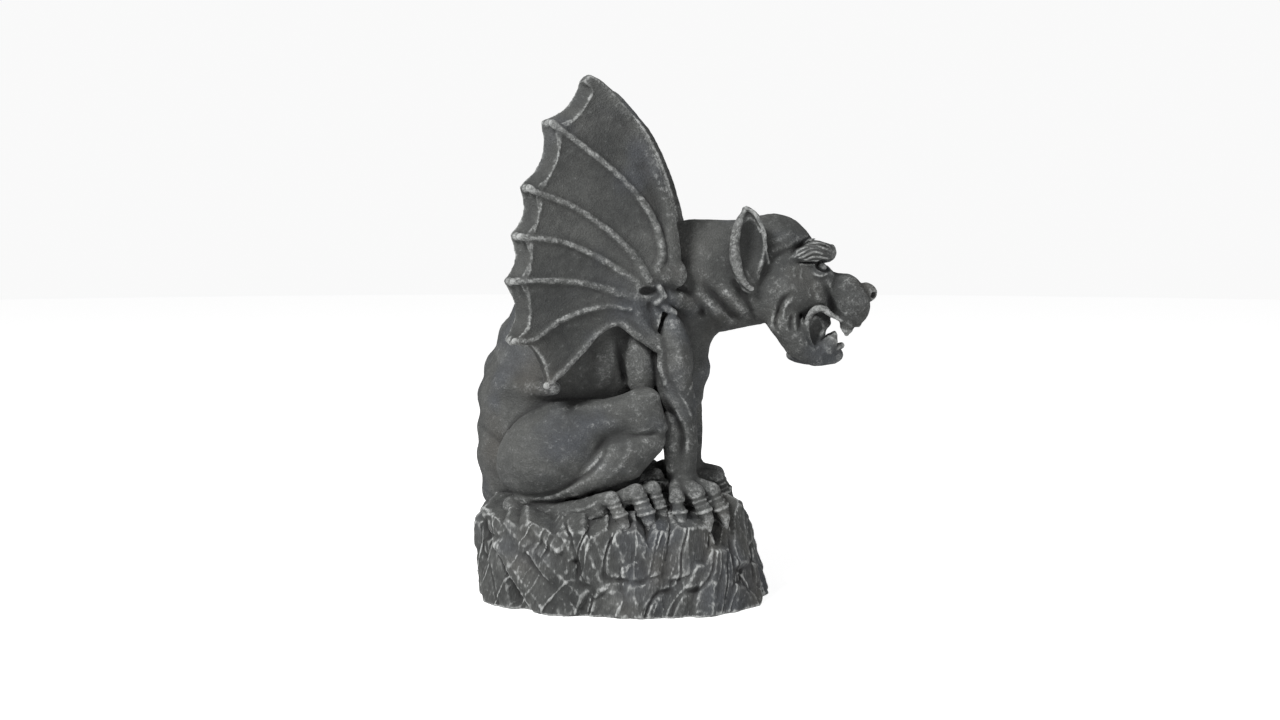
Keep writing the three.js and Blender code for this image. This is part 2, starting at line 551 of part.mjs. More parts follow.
// Thins a closed surface to about `wanted` triangles: again and again the edge whose loss changes the
// shape least is drawn in to a point. An error is the sum of squared distances to the planes met there.
function thin({ points, faces }, wanted) {
  const planes = points.map(() => new Float64Array(10));
  const around = points.map(() => new Set());
  const stamp = new Int32Array(points.length);
  const normalOf = ([a, b, c]) => cross(minus(b, a), minus(c, a));
  faces.forEach((f, id) => {
    const corners = f.map((i) => points[i]);
    const n = normalOf(corners), area = Math.hypot(...n);
    const plane = [...n.map((v) => v / area), -dot(n, corners[0]) / area];
    for (const i of f) {
      around[i].add(id);
      let at = 0;
      for (let r = 0; r < 4; r++)
        for (let s = r; s < 4; s++) planes[i][at++] += area * plane[r] * plane[s];
    }
  });
  const error = (q, [x, y, z]) =>
    q[0] * x * x + 2 * q[1] * x * y + 2 * q[2] * x * z + 2 * q[3] * x + q[4] * y * y + 2 * q[5] * y * z +
    2 * q[6] * y + q[7] * z * z + 2 * q[8] * z + q[9];
  const best = (a, b) => {
    const q = planes[a].map((v, i) => v + planes[b][i]);
    const tries = [0, 0.25, 0.5, 0.75, 1].map((t) => points[a].map((v, i) => lerp(v, points[b][i], t)));
    const rows = [[q[0], q[1], q[2]], [q[1], q[4], q[5]], [q[2], q[5], q[7]]];
    const det = dot(rows[0], cross(rows[1], rows[2]));
    if (Math.abs(det) > 1e-3) {
      const right = [-q[3], -q[6], -q[8]];
      const spot = [cross(rows[1], rows[2]), cross(rows[2], rows[0]), cross(rows[0], rows[1])]
        .reduce((sum, c, i) => sum.map((v, axis) => v + (c[axis] * right[i]) / det), [0, 0, 0]);
      const span = Math.hypot(...minus(points[a], points[b]));
      if (Math.hypot(...minus(spot, tries[2])) < 1.5 * span) tries.push(spot);
    }
    const costs = tries.map((p) => error(q, p));
    const least = costs.indexOf(Math.min(...costs));
    return { q, spot: tries[least], cost: costs[least] };
  };
  const neighbours = (i) => new Set([...around[i]].flatMap((id) => faces[id]).filter((n) => n !== i));
  const queue = new Heap();
  const offer = (a, b) => queue.push({ ...best(a, b), a, b, seen: stamp[a] + stamp[b] });
  faces.forEach((f) => f.forEach((a, i) => a < f[(i + 1) % 3] && offer(a, f[(i + 1) % 3])));
  let left = faces.length;
  const turnsOver = (i, other, spot) =>
    [...around[i]].some((id) => {
      if (faces[id].includes(other)) return false;
      const before = faces[id].map((n) => points[n]);
      const after = before.map((p, n) => (faces[id][n] === i ? spot : p));
      const [m, n] = [normalOf(before), normalOf(after)];
      const longest = Math.max(...after.map((p, s) => Math.hypot(...minus(p, after[(s + 1) % 3]))));
      return dot(m, n) < 0.25 * Math.hypot(...m) * Math.hypot(...n) || Math.hypot(...n) < 0.06 * longest ** 2;
    });
  while (left > wanted && queue.items.length) {
    const { a, b, q, spot, seen } = queue.pop();
    if (!around[a].size || !around[b].size || seen !== stamp[a] + stamp[b]) continue;
    const beside = neighbours(b);
    if (!beside.has(a)) continue;
    const shared = [...neighbours(a)].filter((n) => beside.has(n));
    if (shared.length !== 2 || turnsOver(a, b, spot) || turnsOver(b, a, spot)) continue;
    for (const id of around[b]) {
      if (faces[id].includes(a)) {
        for (const n of faces[id]) if (n !== b) around[n].delete(id);
        faces[id] = null;
        left--;
      } else {
        faces[id] = faces[id].map((n) => (n === b ? a : n));
        around[a].add(id);
      }
    }
    around[b].clear();
    points[a] = spot;
    planes[a] = q;
    stamp[a]++;
    for (const n of neighbours(a)) offer(a, n);
  }
  return { points, faces: faces.filter(Boolean) };
}

// ---------------------------------------------------------------- the casting

const clay = new Clay([-124, -116, -CRAG.below - 6], [204, 116, HEIGHT + 8], GRID);
pressCrag(clay);
pressBody(clay);
pressHaunches(clay);
pressHindToes(clay);
pressForelegs(clay);
pressWings(clay);
pressNeckFolds(clay);
pressHead(clay);
pressEars(clay);

clay.work({ low: clay.low, high: [204, 116, 0] }, 0, (x, y, z, v) => Math.max(v, -CRAG.below - z));

const { points, faces } = thin(largestBody(skin(clay)), FACETS);

// The clay runs on below the bed, and the casting is cut off flat there.
const wasm = await Module();
wasm.setup();
const solidOf = (vertices, triangles) =>
  new wasm.Manifold(new wasm.Mesh({
    numProp: 3, vertProperties: new Float32Array(vertices), triVerts: new Uint32Array(triangles),
  }));
const used = [...new Set(faces.flat())];
const renumbered = new Map(used.map((old, i) => [old, i]));
const figure = solidOf(used.flatMap((i) => points[i]), faces.flat().map((i) => renumbered.get(i)));
const SLAB = 400, DEPTH = 40;
const bed = new THREE.BoxGeometry(SLAB, SLAB, DEPTH).translate(0, 0, -DEPTH / 2);
const bedCorners = bed.getAttribute("position");
const cornerOf = new Map();
const bedIndex = [...bed.index.array].map((i) => {
  const key = [bedCorners.getX(i), bedCorners.getY(i), bedCorners.getZ(i)].join();
  if (!cornerOf.has(key)) cornerOf.set(key, cornerOf.size);
  return cornerOf.get(key);
});
const bedPlaces = [...cornerOf.keys()].flatMap((key) => key.split(",").map(Number));
const cast = figure.subtract(solidOf(bedPlaces, bedIndex));

const { vertProperties, triVerts, numProp } = cast.getMesh();
const places = [];
for (let i = 0; i < vertProperties.length; i += numProp) places.push(...vertProperties.subarray(i, i + 3));
const geometry = new THREE.BufferGeometry()
  .setAttribute("position", new THREE.Float32BufferAttribute(places, 3))
  .setIndex([...triVerts]);
geometry.computeVertexNormals();

const stone = new THREE.MeshStandardMaterial({
  name: "weathered_stone", color: 0x4a4b49, roughness: 0.85, metalness: 0,
});
const gargoyle = new THREE.Mesh(geometry, stone);
gargoyle.name = "gargoyle";
const group = new THREE.Group();
group.add(gargoyle);
export default group;
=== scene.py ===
import math

import bpy
import numpy as np
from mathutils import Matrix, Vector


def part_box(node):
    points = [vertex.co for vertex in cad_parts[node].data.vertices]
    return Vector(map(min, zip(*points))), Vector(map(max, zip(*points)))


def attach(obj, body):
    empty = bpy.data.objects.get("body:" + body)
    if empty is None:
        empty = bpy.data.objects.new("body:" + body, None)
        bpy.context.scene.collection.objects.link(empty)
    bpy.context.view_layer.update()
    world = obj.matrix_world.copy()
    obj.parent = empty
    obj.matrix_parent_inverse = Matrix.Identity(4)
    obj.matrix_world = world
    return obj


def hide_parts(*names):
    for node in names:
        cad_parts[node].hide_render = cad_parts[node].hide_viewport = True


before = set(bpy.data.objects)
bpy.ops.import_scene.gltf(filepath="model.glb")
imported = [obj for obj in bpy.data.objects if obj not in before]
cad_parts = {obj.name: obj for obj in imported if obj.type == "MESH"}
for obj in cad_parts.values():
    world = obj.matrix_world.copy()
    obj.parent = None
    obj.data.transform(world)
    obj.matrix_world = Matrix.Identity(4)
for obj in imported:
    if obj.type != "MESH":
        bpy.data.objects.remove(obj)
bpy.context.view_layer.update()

import openvdb
from mathutils import Vector
from mathutils.kdtree import KDTree

# ------------------------------------------------------------------ the crag of rock
# The foot of the casting is a crag that the beast sits on, cast with it in the same mould. Its flanks
# are slabs that lean on one another, each with a blunt ridge down its middle, and its top is a ledge.
# The whole work is shaped as clay on a grid that holds the distance to the surface, in millimetres.

low_corner, high_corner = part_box("gargoyle")
FINE = 1.0  # spacing of the clay's grid
SOFT = 5.0  # how far one form melts into the next
FAR = 4 * SOFT  # the distance held where no form is near


def melt(a, b, breadth):
    """Where two distances meet, melts them into one over a breadth."""
    near = np.maximum(breadth - np.abs(a - b), 0)
    return np.minimum(a, b) - near * near / (4 * breadth)


def around(points, reach):
    """The box, low to high, that holds all the points and what lies within reach of them."""
    points = np.array(points, float)
    reach = np.broadcast_to(reach, len(points))[:, None]
    return (points[:, :3] - reach).min(0), (points[:, :3] + reach).max(0)


class Clay:
    """A block of clay from low to high. A form is (low, high, at), where at(x, y, z) is its distance."""

    def __init__(self, low, high):
        self.start = np.floor(np.array(low) / FINE).astype(int)  # every block keeps to one grid
        self.low = self.start * FINE
        self.count = np.ceil(np.array(high) / FINE).astype(int) - self.start + 1
        self.value = np.full(self.count, FAR, np.float32)

    def region(self, form, reach):
        start = np.floor((form[0] - reach - self.low) / FINE).astype(int).clip(0, self.count)
        stop = (np.ceil((form[1] + reach - self.low) / FINE).astype(int) + 1).clip(0, self.count)
        cut = tuple(slice(a, b) for a, b in zip(start, stop))
        axes = [(self.low[i] + np.arange(start[i], stop[i]) * FINE).astype(np.float32) for i in range(3)]
        return cut, np.ix_(*axes)

    def press(self, form, soft=SOFT):
        cut, places = self.region(form, soft + FINE)
        self.value[cut] = melt(self.value[cut], form[2](*places), soft)

    def cut(self, form, soft=2.0):
        cut, places = self.region(form, soft + FINE)
        self.value[cut] = -melt(-self.value[cut], form[2](*places), soft)

    def line(self, form, breadth, height):
        """Raises the surface by height along the form's line, or scores it where height is below 0."""
        cut, places = self.region(form, 2.5 * breadth)
        away = np.maximum(form[2](*places), 0) / breadth
        self.value[cut] -= height * np.exp(-away * away)


CRAG_HEIGHT, CRAG_SQUARE = 61.0, 2.6
CRAG_FOOT = np.array([4.0, 106.5, 88.0])  # middle along X, half length, half width
CRAG_TOP = np.array([-8.0, 99.0, 81.0])
CORE_INSET = 5  # how far the crag's core lies inside its slabs


def crag_plan(z):
    t = np.clip(z / CRAG_HEIGHT, 0, 1)
    return [a + (b - a) * t for a, b in zip(CRAG_FOOT, CRAG_TOP)]


def crag_place(degrees, z):
    """A place on the crag's flank, by its angle round the crag and its height."""
    middle, a, b = crag_plan(z)
    c, s = math.cos(math.radians(degrees)), math.sin(math.radians(degrees))
    r = (abs(c / a) ** CRAG_SQUARE + abs(s / b) ** CRAG_SQUARE) ** (-1 / CRAG_SQUARE)
    return Vector((middle + r * c, r * s, z))


def crag_core():
    def at(x, y, z):
        middle, a, b = crag_plan(z)
        spread = np.abs((x - middle) / (a - CORE_INSET)) ** CRAG_SQUARE
        spread = spread + np.abs(y / (b - CORE_INSET)) ** CRAG_SQUARE
        side = (spread ** (1 / CRAG_SQUARE) - 1) * b
        rim = 6 * np.exp(-(((np.abs(x + 8) - 96) / 12) ** 2))  # the ledge rises a little at its two ends
        return -melt(-side, CRAG_HEIGHT + rim - z, 4.0)
    return np.array([-112.0, -92, -6]), np.array([116.0, 92, 72]), at


def slab(head, toe, breadth, proud):
    """A split slab from a place (angle, height) near the crag's top to one near its foot. Its face has
    two flats that meet in a blunt ridge, and its sides and ends slope back."""
    top, foot = crag_place(*head), crag_place(*toe)
    along = top - foot
    half = along.length / 2
    along.normalize()
    middle = (top + foot) / 2
    turn = (head[0] + toe[0]) / 2
    beside = (crag_place(turn + 1, middle.z) - crag_place(turn - 1, middle.z)).normalized()
    out = beside.cross(along).normalized()
    side = along.cross(out)
    deep = 7.0
    middle = middle - out * deep
    w, h = breadth / 2, proud + deep
    split = 0.3 * w * math.sin(5.1 * head[0])  # where the ridge runs, to one side of the middle

    def at(x, y, z):
        px, py, pz = x - middle.x, y - middle.y, z - middle.z
        t, s, o = (px * v.x + py * v.y + pz * v.z for v in (along, side, out))
        narrow = w * (1 - 0.22 * np.clip(t / half, -1, 1) - 0.18 * (t / half) ** 2)
        flats = np.maximum(0.96 * o + 0.28 * (s - split), 0.93 * o - 0.37 * (s - split)) - 0.95 * h
        sides = 0.94 * np.abs(s) + 0.34 * (o - h) - 0.94 * narrow + 1.5
        ends = 0.8 * (np.abs(t) - half) + 0.6 * (o - h) + 2
        return -melt(-np.maximum(flats, sides), -ends, 1.5)
    return (*around([middle], half + w), at)


crag = Clay((-122, -104, -6), (124, 104, 82))
crag.press(crag_core(), 1)
SHARP = 0.6  # how far one slab melts into the next
RIGHT_FLANK = (  # each slab's place near the top, its place near the foot, its breadth and its ridge's height
    ((205, 70), (222, 54), 17, 6), ((221, 66), (233, 46), 17, 5), ((232, 66), (249, 44), 19, 6),
    ((210, 50), (216, -2), 22, 4), ((219, 54), (246, -4), 27, 8), ((236, 50), (259, 14), 24, 7),
    ((249, 62), (255, 40), 17, 5), ((259, 64), (267, 18), 17, 9), ((258, 22), (262, -4), 20, 4),
    ((268, 62), (276, -4), 32, 8), ((278, 64), (283, 36), 15, 7), ((286, 64), (291, 28), 17, 7),
    ((283, 40), (286, -4), 25, 9), ((300, 64), (291, 32), 17, 6), ((298, 42), (291, 12), 17, 5),
    ((314, 66), (309, 28), 40, 6), ((313, 40), (294, -4), 30, 7), ((325, 46), (313, -4), 30, 9),
    ((336, 62), (327, 16), 26, 4), ((352, 74), (341, 28), 40, 7), ((345, 30), (337, -6), 34, 8),
    ((331, 18), (324, -4), 24, 6), ((303, 14), (300, -4), 18, 5),
)
for head, toe, breadth, proud in RIGHT_FLANK:
    crag.press(slab(head, toe, breadth, proud), SHARP)
COLUMNS, FIRST_TURN, SPAN = 19, 358, 202
for i in range(COLUMNS):  # the other flanks, where each slab is a little unlike the last
    sway, shift = math.sin(i * 2.4), math.cos(i * 1.7)
    turn = FIRST_TURN + SPAN * i / (COLUMNS - 1)
    split = 36 + 12 * shift
    upper = slab((turn - 6 * sway, 64), (turn + 4 * sway, split - 6), 27 + 6 * sway, 7 + 2 * shift)
    lower = slab((turn + 4 + 5 * sway, split + 8), (turn + 4 - 4 * sway, -4), 30 - 5 * shift, 7)
    crag.press(upper, SHARP)
    crag.press(lower, SHARP)

# ------------------------------------------------------------------ the hound's trunk and neck
# A heavy hound's body, humped at the shoulders, with the backbone showing as a row of knobs and loose
# skin folded down each side of the neck. The beast is shaped on its right side only, and mirrored.

beast = Clay((-124, -112, 40), (204, 0, 404))


def smooth_run(points, steps=8):
    """A smooth curve through points of any dimension (Catmull-Rom)."""
    p = np.array(points, float)
    p = np.vstack([2 * p[0] - p[1], p, 2 * p[-1] - p[-2]])
    run = []
    for a, b, c, d in zip(p, p[1:], p[2:], p[3:]):
        for t in np.arange(steps) / steps:
            run.append(0.5 * (2 * b + (c - a) * t + (2 * a - 5 * b + 4 * c - d) * t * t
                              + (3 * b - a - 3 * c + d) * t ** 3))
    return [*run, p[-2]]


def score(places, breadth, height, inner=-12.0):
    """Raises a line by height on the beast's side along places of (x, z), or scores it where height is
    below 0. It fades out at its ends and towards the depth inner."""
    run = np.array(smooth_run(places, 5))
    start = np.floor((run.min(0) - 2.5 * breadth - beast.low[[0, 2]]) / FINE).astype(int)
    stop = np.ceil((run.max(0) + 2.5 * breadth - beast.low[[0, 2]]) / FINE).astype(int)
    x = (beast.low[0] + np.arange(start[0], stop[0]) * FINE)[:, None]
    z = (beast.low[2] + np.arange(start[1], stop[1]) * FINE)[None, :]
    away, share = np.full((x.size, z.size), 1e9), np.zeros((x.size, z.size))
    for i, (a, b) in enumerate(zip(run, run[1:])):
        step = b - a
        t = np.clip(((x - a[0]) * step[0] + (z - a[1]) * step[1]) / (step @ step + 1e-9), 0, 1)
        here = np.hypot(x - a[0] - t * step[0], z - a[1] - t * step[1])
        share = np.where(here < away, (i + t) / (len(run) - 1), share)
        away = np.minimum(away, here)
    rise = height * np.exp(-(away / breadth) ** 2) * np.clip(4 * np.minimum(share, 1 - share), 0, 1)
    y = beast.low[1] + np.arange(beast.count[1]) * FINE
    reach = np.clip((inner - y) / 6, 0, 1)
    window = beast.value[start[0]:stop[0], :, start[1]:stop[1]]
    window -= (rise[:, None, :] * reach[None, :, None]).astype(np.float32)


def limb(stations, flat=1.0):
    """A limb through stations of (x, y, z, radius). flat below 1 makes it narrower across the beast."""
    stations = [tuple(map(float, s)) for s in stations]

    def at(x, y, z):
        nearest = None
        for a, b in zip(stations, stations[1:]):
            d = (b[0] - a[0], (b[1] - a[1]) / flat, b[2] - a[2])
            length2 = d[0] ** 2 + d[1] ** 2 + d[2] ** 2
            px, py, pz = x - a[0], (y - a[1]) / flat, z - a[2]
            t = np.clip((px * d[0] + py * d[1] + pz * d[2]) / length2, 0, 1)
            away = np.sqrt((px - t * d[0]) ** 2 + (py - t * d[1]) ** 2 + (pz - t * d[2]) ** 2)
            away -= a[3] + t * (b[3] - a[3])
            nearest = away if nearest is None else np.minimum(nearest, away)
        return nearest
    return (*around(stations, [s[3] for s in stations]), at)


def axes_of(turn):
    """A form's own axes, from its turns about X, Y and Z in degrees."""
    x, y, z = np.radians(turn)
    rx = np.array([[1, 0, 0], [0, math.cos(x), -math.sin(x)], [0, math.sin(x), math.cos(x)]])
    ry = np.array([[math.cos(y), 0, math.sin(y)], [0, 1, 0], [-math.sin(y), 0, math.cos(y)]])
    rz = np.array([[math.cos(z), -math.sin(z), 0], [math.sin(z), math.cos(z), 0], [0, 0, 1]])
    return (rz @ ry @ rx).T


def mass(centre, radii, turn=(0, 0, 0)):
    """An egg of muscle."""
    rows = axes_of(turn)

    def at(x, y, z):
        p = (x - centre[0], y - centre[1], z - centre[2])
        scaled = steep = 0
        for row, radius in zip(rows, radii):
            q = (p[0] * row[0] + p[1] * row[1] + p[2] * row[2]) / radius
            scaled = scaled + q * q
            steep = steep + (q / radius) ** 2
        scaled = np.sqrt(scaled)
        return np.where(scaled < 0.01, -min(radii), scaled * (scaled - 1) / np.sqrt(steep + 1e-12))
    return (*around([centre], max(radii)), at)


TRUNK = ((-72, 0, 84, 37), (-70, 0, 112, 43), (-48, 0, 150, 63), (-24, 0, 196, 66), (18, 0, 226, 56),
         (58, 0, 247, 45), (98, 0, 251, 41), (116, 0, 255, 36))
beast.press(limb(TRUNK, 0.78))
beast.press(mass((36, 0, 184), (32, 34, 54)), 10)  # chest
beast.press(mass((-34, 0, 104), (52, 40, 48)), 8)  # belly, down to the rock
beast.press(mass((20, 0, 128), (17, 24, 17)), 6)  # and forward between the knees
KNOBS, LOWEST_KNOB, KNOB_SPACING = 7, 82, 24
for i in range(KNOBS):  # the backbone, arched over the haunches
    z = LOWEST_KNOB + KNOB_SPACING * i
    x = -105 + 0.004 * max(z - 135, 0) ** 2 + 0.002 * max(135 - z, 0) ** 2
    beast.press(mass((x, 0, z), (8.5, 10, 10)), 7)
BREASTBONE = ((60, 176), (54, 154), (50, 136))
for x, z in BREASTBONE:
    beast.press(mass((x, 0, z), (9, 20, 9)), 6)
beast.press(mass((-9, -42, 186), (12, 11, 25), (0, 12, 0)), 3)  # flank muscles under the wing's arch
beast.press(mass((18, -40, 184), (12, 12, 28), (0, -5, 0)), 3)
score(((1, 204), (3, 190), (6, 176), (7, 168)), 2.6, -4.0, -26)
beast.press(limb(((-88, -30, 166, 5), (-64, -47, 165, 6), (-44, -60, 166, 5))), 10)
score(((-98, 205), (-88, 178), (-84, 150)), 6, 1.2, -8)
score(((-84, 205), (-75, 182), (-72, 160)), 5, -1.2, -8)
NECK_FOLDS = (
    ((57, 243), (66, 233), (74, 223), (80, 216)),
    ((76, 245), (85, 235), (93, 225), (101, 216)),
)
for fold in NECK_FOLDS:
    score(fold, 5.0, 4.5)
NECK_CREASES = (
    ((47, 243), (55, 233), (62, 224), (68, 217)),
    ((65, 246), (74, 235), (81, 227), (89, 218), (97, 213)),
    ((86, 250), (95, 236), (101, 226), (106, 214)),
)
for crease in NECK_CREASES:
    score(crease, 2.6, -4.5)
score(((70, 262), (80, 254), (88, 250)), 4, -1.0, -14)

# ------------------------------------------------------------------ haunches and hind feet
# The hind legs are folded, thigh over calf, with a squarish knee pushed forward and the long foot flat
# on the ledge. Its toes hang over the edge, and each claw grows out of a ring of skin.


def block(centre, half, turn, rounding):
    """A block with rounded edges."""
    rows = axes_of(turn)

    def at(x, y, z):
        p = (x - centre[0], y - centre[1], z - centre[2])
        q = [np.abs(p[0] * r[0] + p[1] * r[1] + p[2] * r[2]) - h + rounding for r, h in zip(rows, half)]
        outside = np.sqrt(sum(np.maximum(v, 0) ** 2 for v in q))
        return outside + np.minimum(np.maximum(np.maximum(q[0], q[1]), q[2]), 0) - rounding
    return (*around([centre], math.hypot(*half)), at)


def blend(a, b, t):
    return tuple(u + (v - u) * t for u, v in zip(a, b))


def press_toe(root, knuckle, ring, point, thick):
    """A toe bent at its knuckle, with the skin gathered in a cuff round the root of its claw."""
    beast.press(limb(((*root, thick), (*knuckle, 1.04 * thick), (*ring, 0.84 * thick))), 1.5)
    lean = math.degrees(math.atan2(point[0] - ring[0], point[2] - ring[2]))
    beast.press(mass(ring, (1.08 * thick, 1.08 * thick, 0.42 * thick), (0, lean, 0)), 1)
    bend = blend(ring, point, 0.5)
    bend = (bend[0] + 0.8, bend[1], bend[2] + 1)
    beast.press(limb(((*ring, 0.9 * thick), (*bend, 0.66 * thick), (*point, 0.9))), 0.4)
    for t in (0.3, 0.55):  # wrinkles between knuckle and cuff
        across = blend(knuckle, ring, t)
        beast.line(mass(across, (1.25 * thick, 1.25 * thick, 0.4), (0, lean, 0)), 1.0, -0.8)


beast.press(limb(((24, -58, 128, 15), (8, -57, 114, 18), (-28, -54, 95, 14), (-66, -50, 84, 11))), 3)
beast.press(mass((-47, -48, 118), (46, 31, 33.5), (0, -30, 0)), 2)  # thigh
beast.press(limb(((-36, -48, 135, 19), (-4, -58, 143, 15), (20, -62, 151, 13.5))), 9)
beast.press(block((25, -61, 150), (12, 13, 15), (0, -14, 6), 8), 8)  # knee
beast.press(mass((35, -60, 138.5), (6, 9, 4.5), (0, 10, 0)), 4)
HAUNCH_LINES = (  # places of (x, z), breadth, height and the depth where it fades
    (((-4, 125), (-6, 116), (-16, 104), (-28, 97), (-43, 89), (-56, 86), (-72, 86)), 2.0, -2.4, -36),
    (((-42, 151), (-22, 153), (-4, 155), (14, 158)), 3.0, 1.1, -36),
    (((-26, 145), (-8, 146), (8, 148)), 3.5, -1.3, -36),
    (((14, 133), (12, 119), (2, 105), (-8, 96)), 3.0, 1.2, -36),
    (((10, 131), (24, 133), (36, 135)), 2.2, -1.8, -36),
    (((-8, 92), (-20, 86), (-42, 80), (-66, 79)), 1.8, -2.2, -36),
)
for places, breadth, height, depth in HAUNCH_LINES:
    score(places, breadth, height, depth)
beast.press(limb(((-77, -47, 74, 8.5), (-42, -56, 71, 8.5), (-22, -62, 73, 10), (-10, -65, 77, 10.5))), 2)
score(((-36, 75), (-22, 77), (-10, 84), (-4, 88)), 1.6, 1.1, -50)
score(((-32, 68), (-20, 69), (-8, 74)), 1.8, 1.0, -50)
press_toe((-10, -67, 82), (0, -74, 85), (7.5, -79, 74), (12, -82, 58), 6.0)
press_toe((4, -62, 82), (18, -69, 89), (26, -72, 75), (29.5, -74, 60), 7.0)
press_toe((8, -52, 82), (29, -58, 91), (36, -61, 78), (39, -63, 63), 5.8)
press_toe((4, -42, 78), (24, -42, 86), (32, -44, 74), (36, -45, 60), 6.0)

# ------------------------------------------------------------------ forelegs
# Straight forelegs stand in front of the knees. The shoulder is one long oval muscle, with a groove
# down each side of it, and the paw spreads four toes over the ledge.

beast.press(limb(((40, -32, 205, 15), (44, -36, 170, 14), (49, -38, 150, 12), (51, -38, 130, 11),
                  (51, -38, 112, 10.5), (50, -38, 99, 11), (54, -41, 87, 12))), 4)
beast.press(limb(((43, -47, 142, 7), (43, -47, 124, 7), (44, -45, 106, 6))), 3)
beast.press(mass((47, -43, 189), (11.5, 14, 33), (0, -9, 0)), 2)  # shoulder
beast.press(mass((62, -41, 82), (18, 16, 9), (0, 14, 0)), 4)
FORELEG_LINES = (
    (((47, 222), (55, 212), (60, 197), (59.5, 181), (55, 166), (50, 158)), 1.7, -1.8, -30),
    (((46, 205), (50, 192), (50, 178)), 4.5, 1.0, -30),
    (((35, 160), (45, 145), (51, 131), (50.5, 114)), 2.4, -3.6, -34),
    (((47, 164), (55, 152), (59, 140)), 1.4, 1.0, -30),
    (((41, 96), (50, 99), (60, 97)), 2.2, 1.0, -30),
)
for places, breadth, height, depth in FORELEG_LINES:
    score(places, breadth, height, depth)
press_toe((47, -48, 92), (48, -60, 83), (50.5, -65, 75), (52, -69, 60), 5.8)
press_toe((54, -48, 92), (62, -56, 88), (68, -60, 75), (73, -64, 60), 6.2)
press_toe((60, -41, 92), (73, -45, 88), (80, -48, 75), (85, -51, 60), 6.0)
press_toe((58, -33, 88), (73, -32, 86), (80, -31, 74), (86, -30, 60), 5.8)

# ------------------------------------------------------------------ wings
# Bat wings stand up from the shoulders and spread backwards. A thick sheet of skin is stretched over
# five ribs, each ending in a knob, and between knobs the sheet's edge is scalloped and bevelled.

WING_ROOT = (46.0, -40.0)
WING_SPLAY = math.radians(25)
WING_HALF, WING_BEVEL, WING_BOW, SCALLOP = 5.5, 8.0, 5.0, 0.12
SIN, COS = math.sin(WING_SPLAY), math.cos(WING_SPLAY)
SHEET_STEP = 0.8  # spacing of the table that holds the sheet's outline
RIB_TIPS = ((-21, 392), (-46, 362), (-61, 315), (-68, 280), (-72.5, 247), (-72, 204))
ARM_EDGE = ((40, 242), (47, 262), (44, 293), (36, 325), (20, 361), (-3, 388), (-15, 397))
ARCH_EDGE = ((-46, 169), (-31, 181), (-14, 206), (4, 215), (20, 208), (30, 198))


def wing_bow(u):
    """How far the sheet is hollowed at a distance u back from its root."""
    return -WING_BOW * np.sin(np.pi * np.clip(u / 130, 0, 1))


def on_wing(x, z, lift=0.0):
    """A place on the wing's sheet that is at (x, z) seen from the side, lifted off by lift."""
    u = (WING_ROOT[0] - x) / COS
    out = lift + float(wing_bow(u))
    return (x + out * SIN, WING_ROOT[1] - u * SIN - out * COS, z)


def curve_through(a, control, b, steps=8):
    """A curve from a to b drawn towards its control point, without b itself."""
    return [tuple((1 - t) ** 2 * np.array(a) + 2 * t * (1 - t) * np.array(control) + t * t * np.array(b))
            for t in np.arange(steps) / steps]


def wing_outline():
    """(x, z, bevelled) round the sheet: up the arm, down the scallops, and back under the arch."""
    edge = [(*p, 0) for p in smooth_run((*ARM_EDGE, RIB_TIPS[0]))]
    for a, b in zip(RIB_TIPS, RIB_TIPS[1:]):
        control = ((a[0] + b[0]) / 2 - 2 * SCALLOP * (b[1] - a[1]),
                   (a[1] + b[1]) / 2 + 2 * SCALLOP * (b[0] - a[0]))
        edge += [(*p, 1) for p in curve_through(a, control, b)]
    edge += [(-72, 204, 0)] + [(*p, 0) for p in curve_through((-57, 201), (-49, 190), (-46, 169))]
    edge += [(*p, 0) for p in smooth_run(ARCH_EDGE)]
    return edge


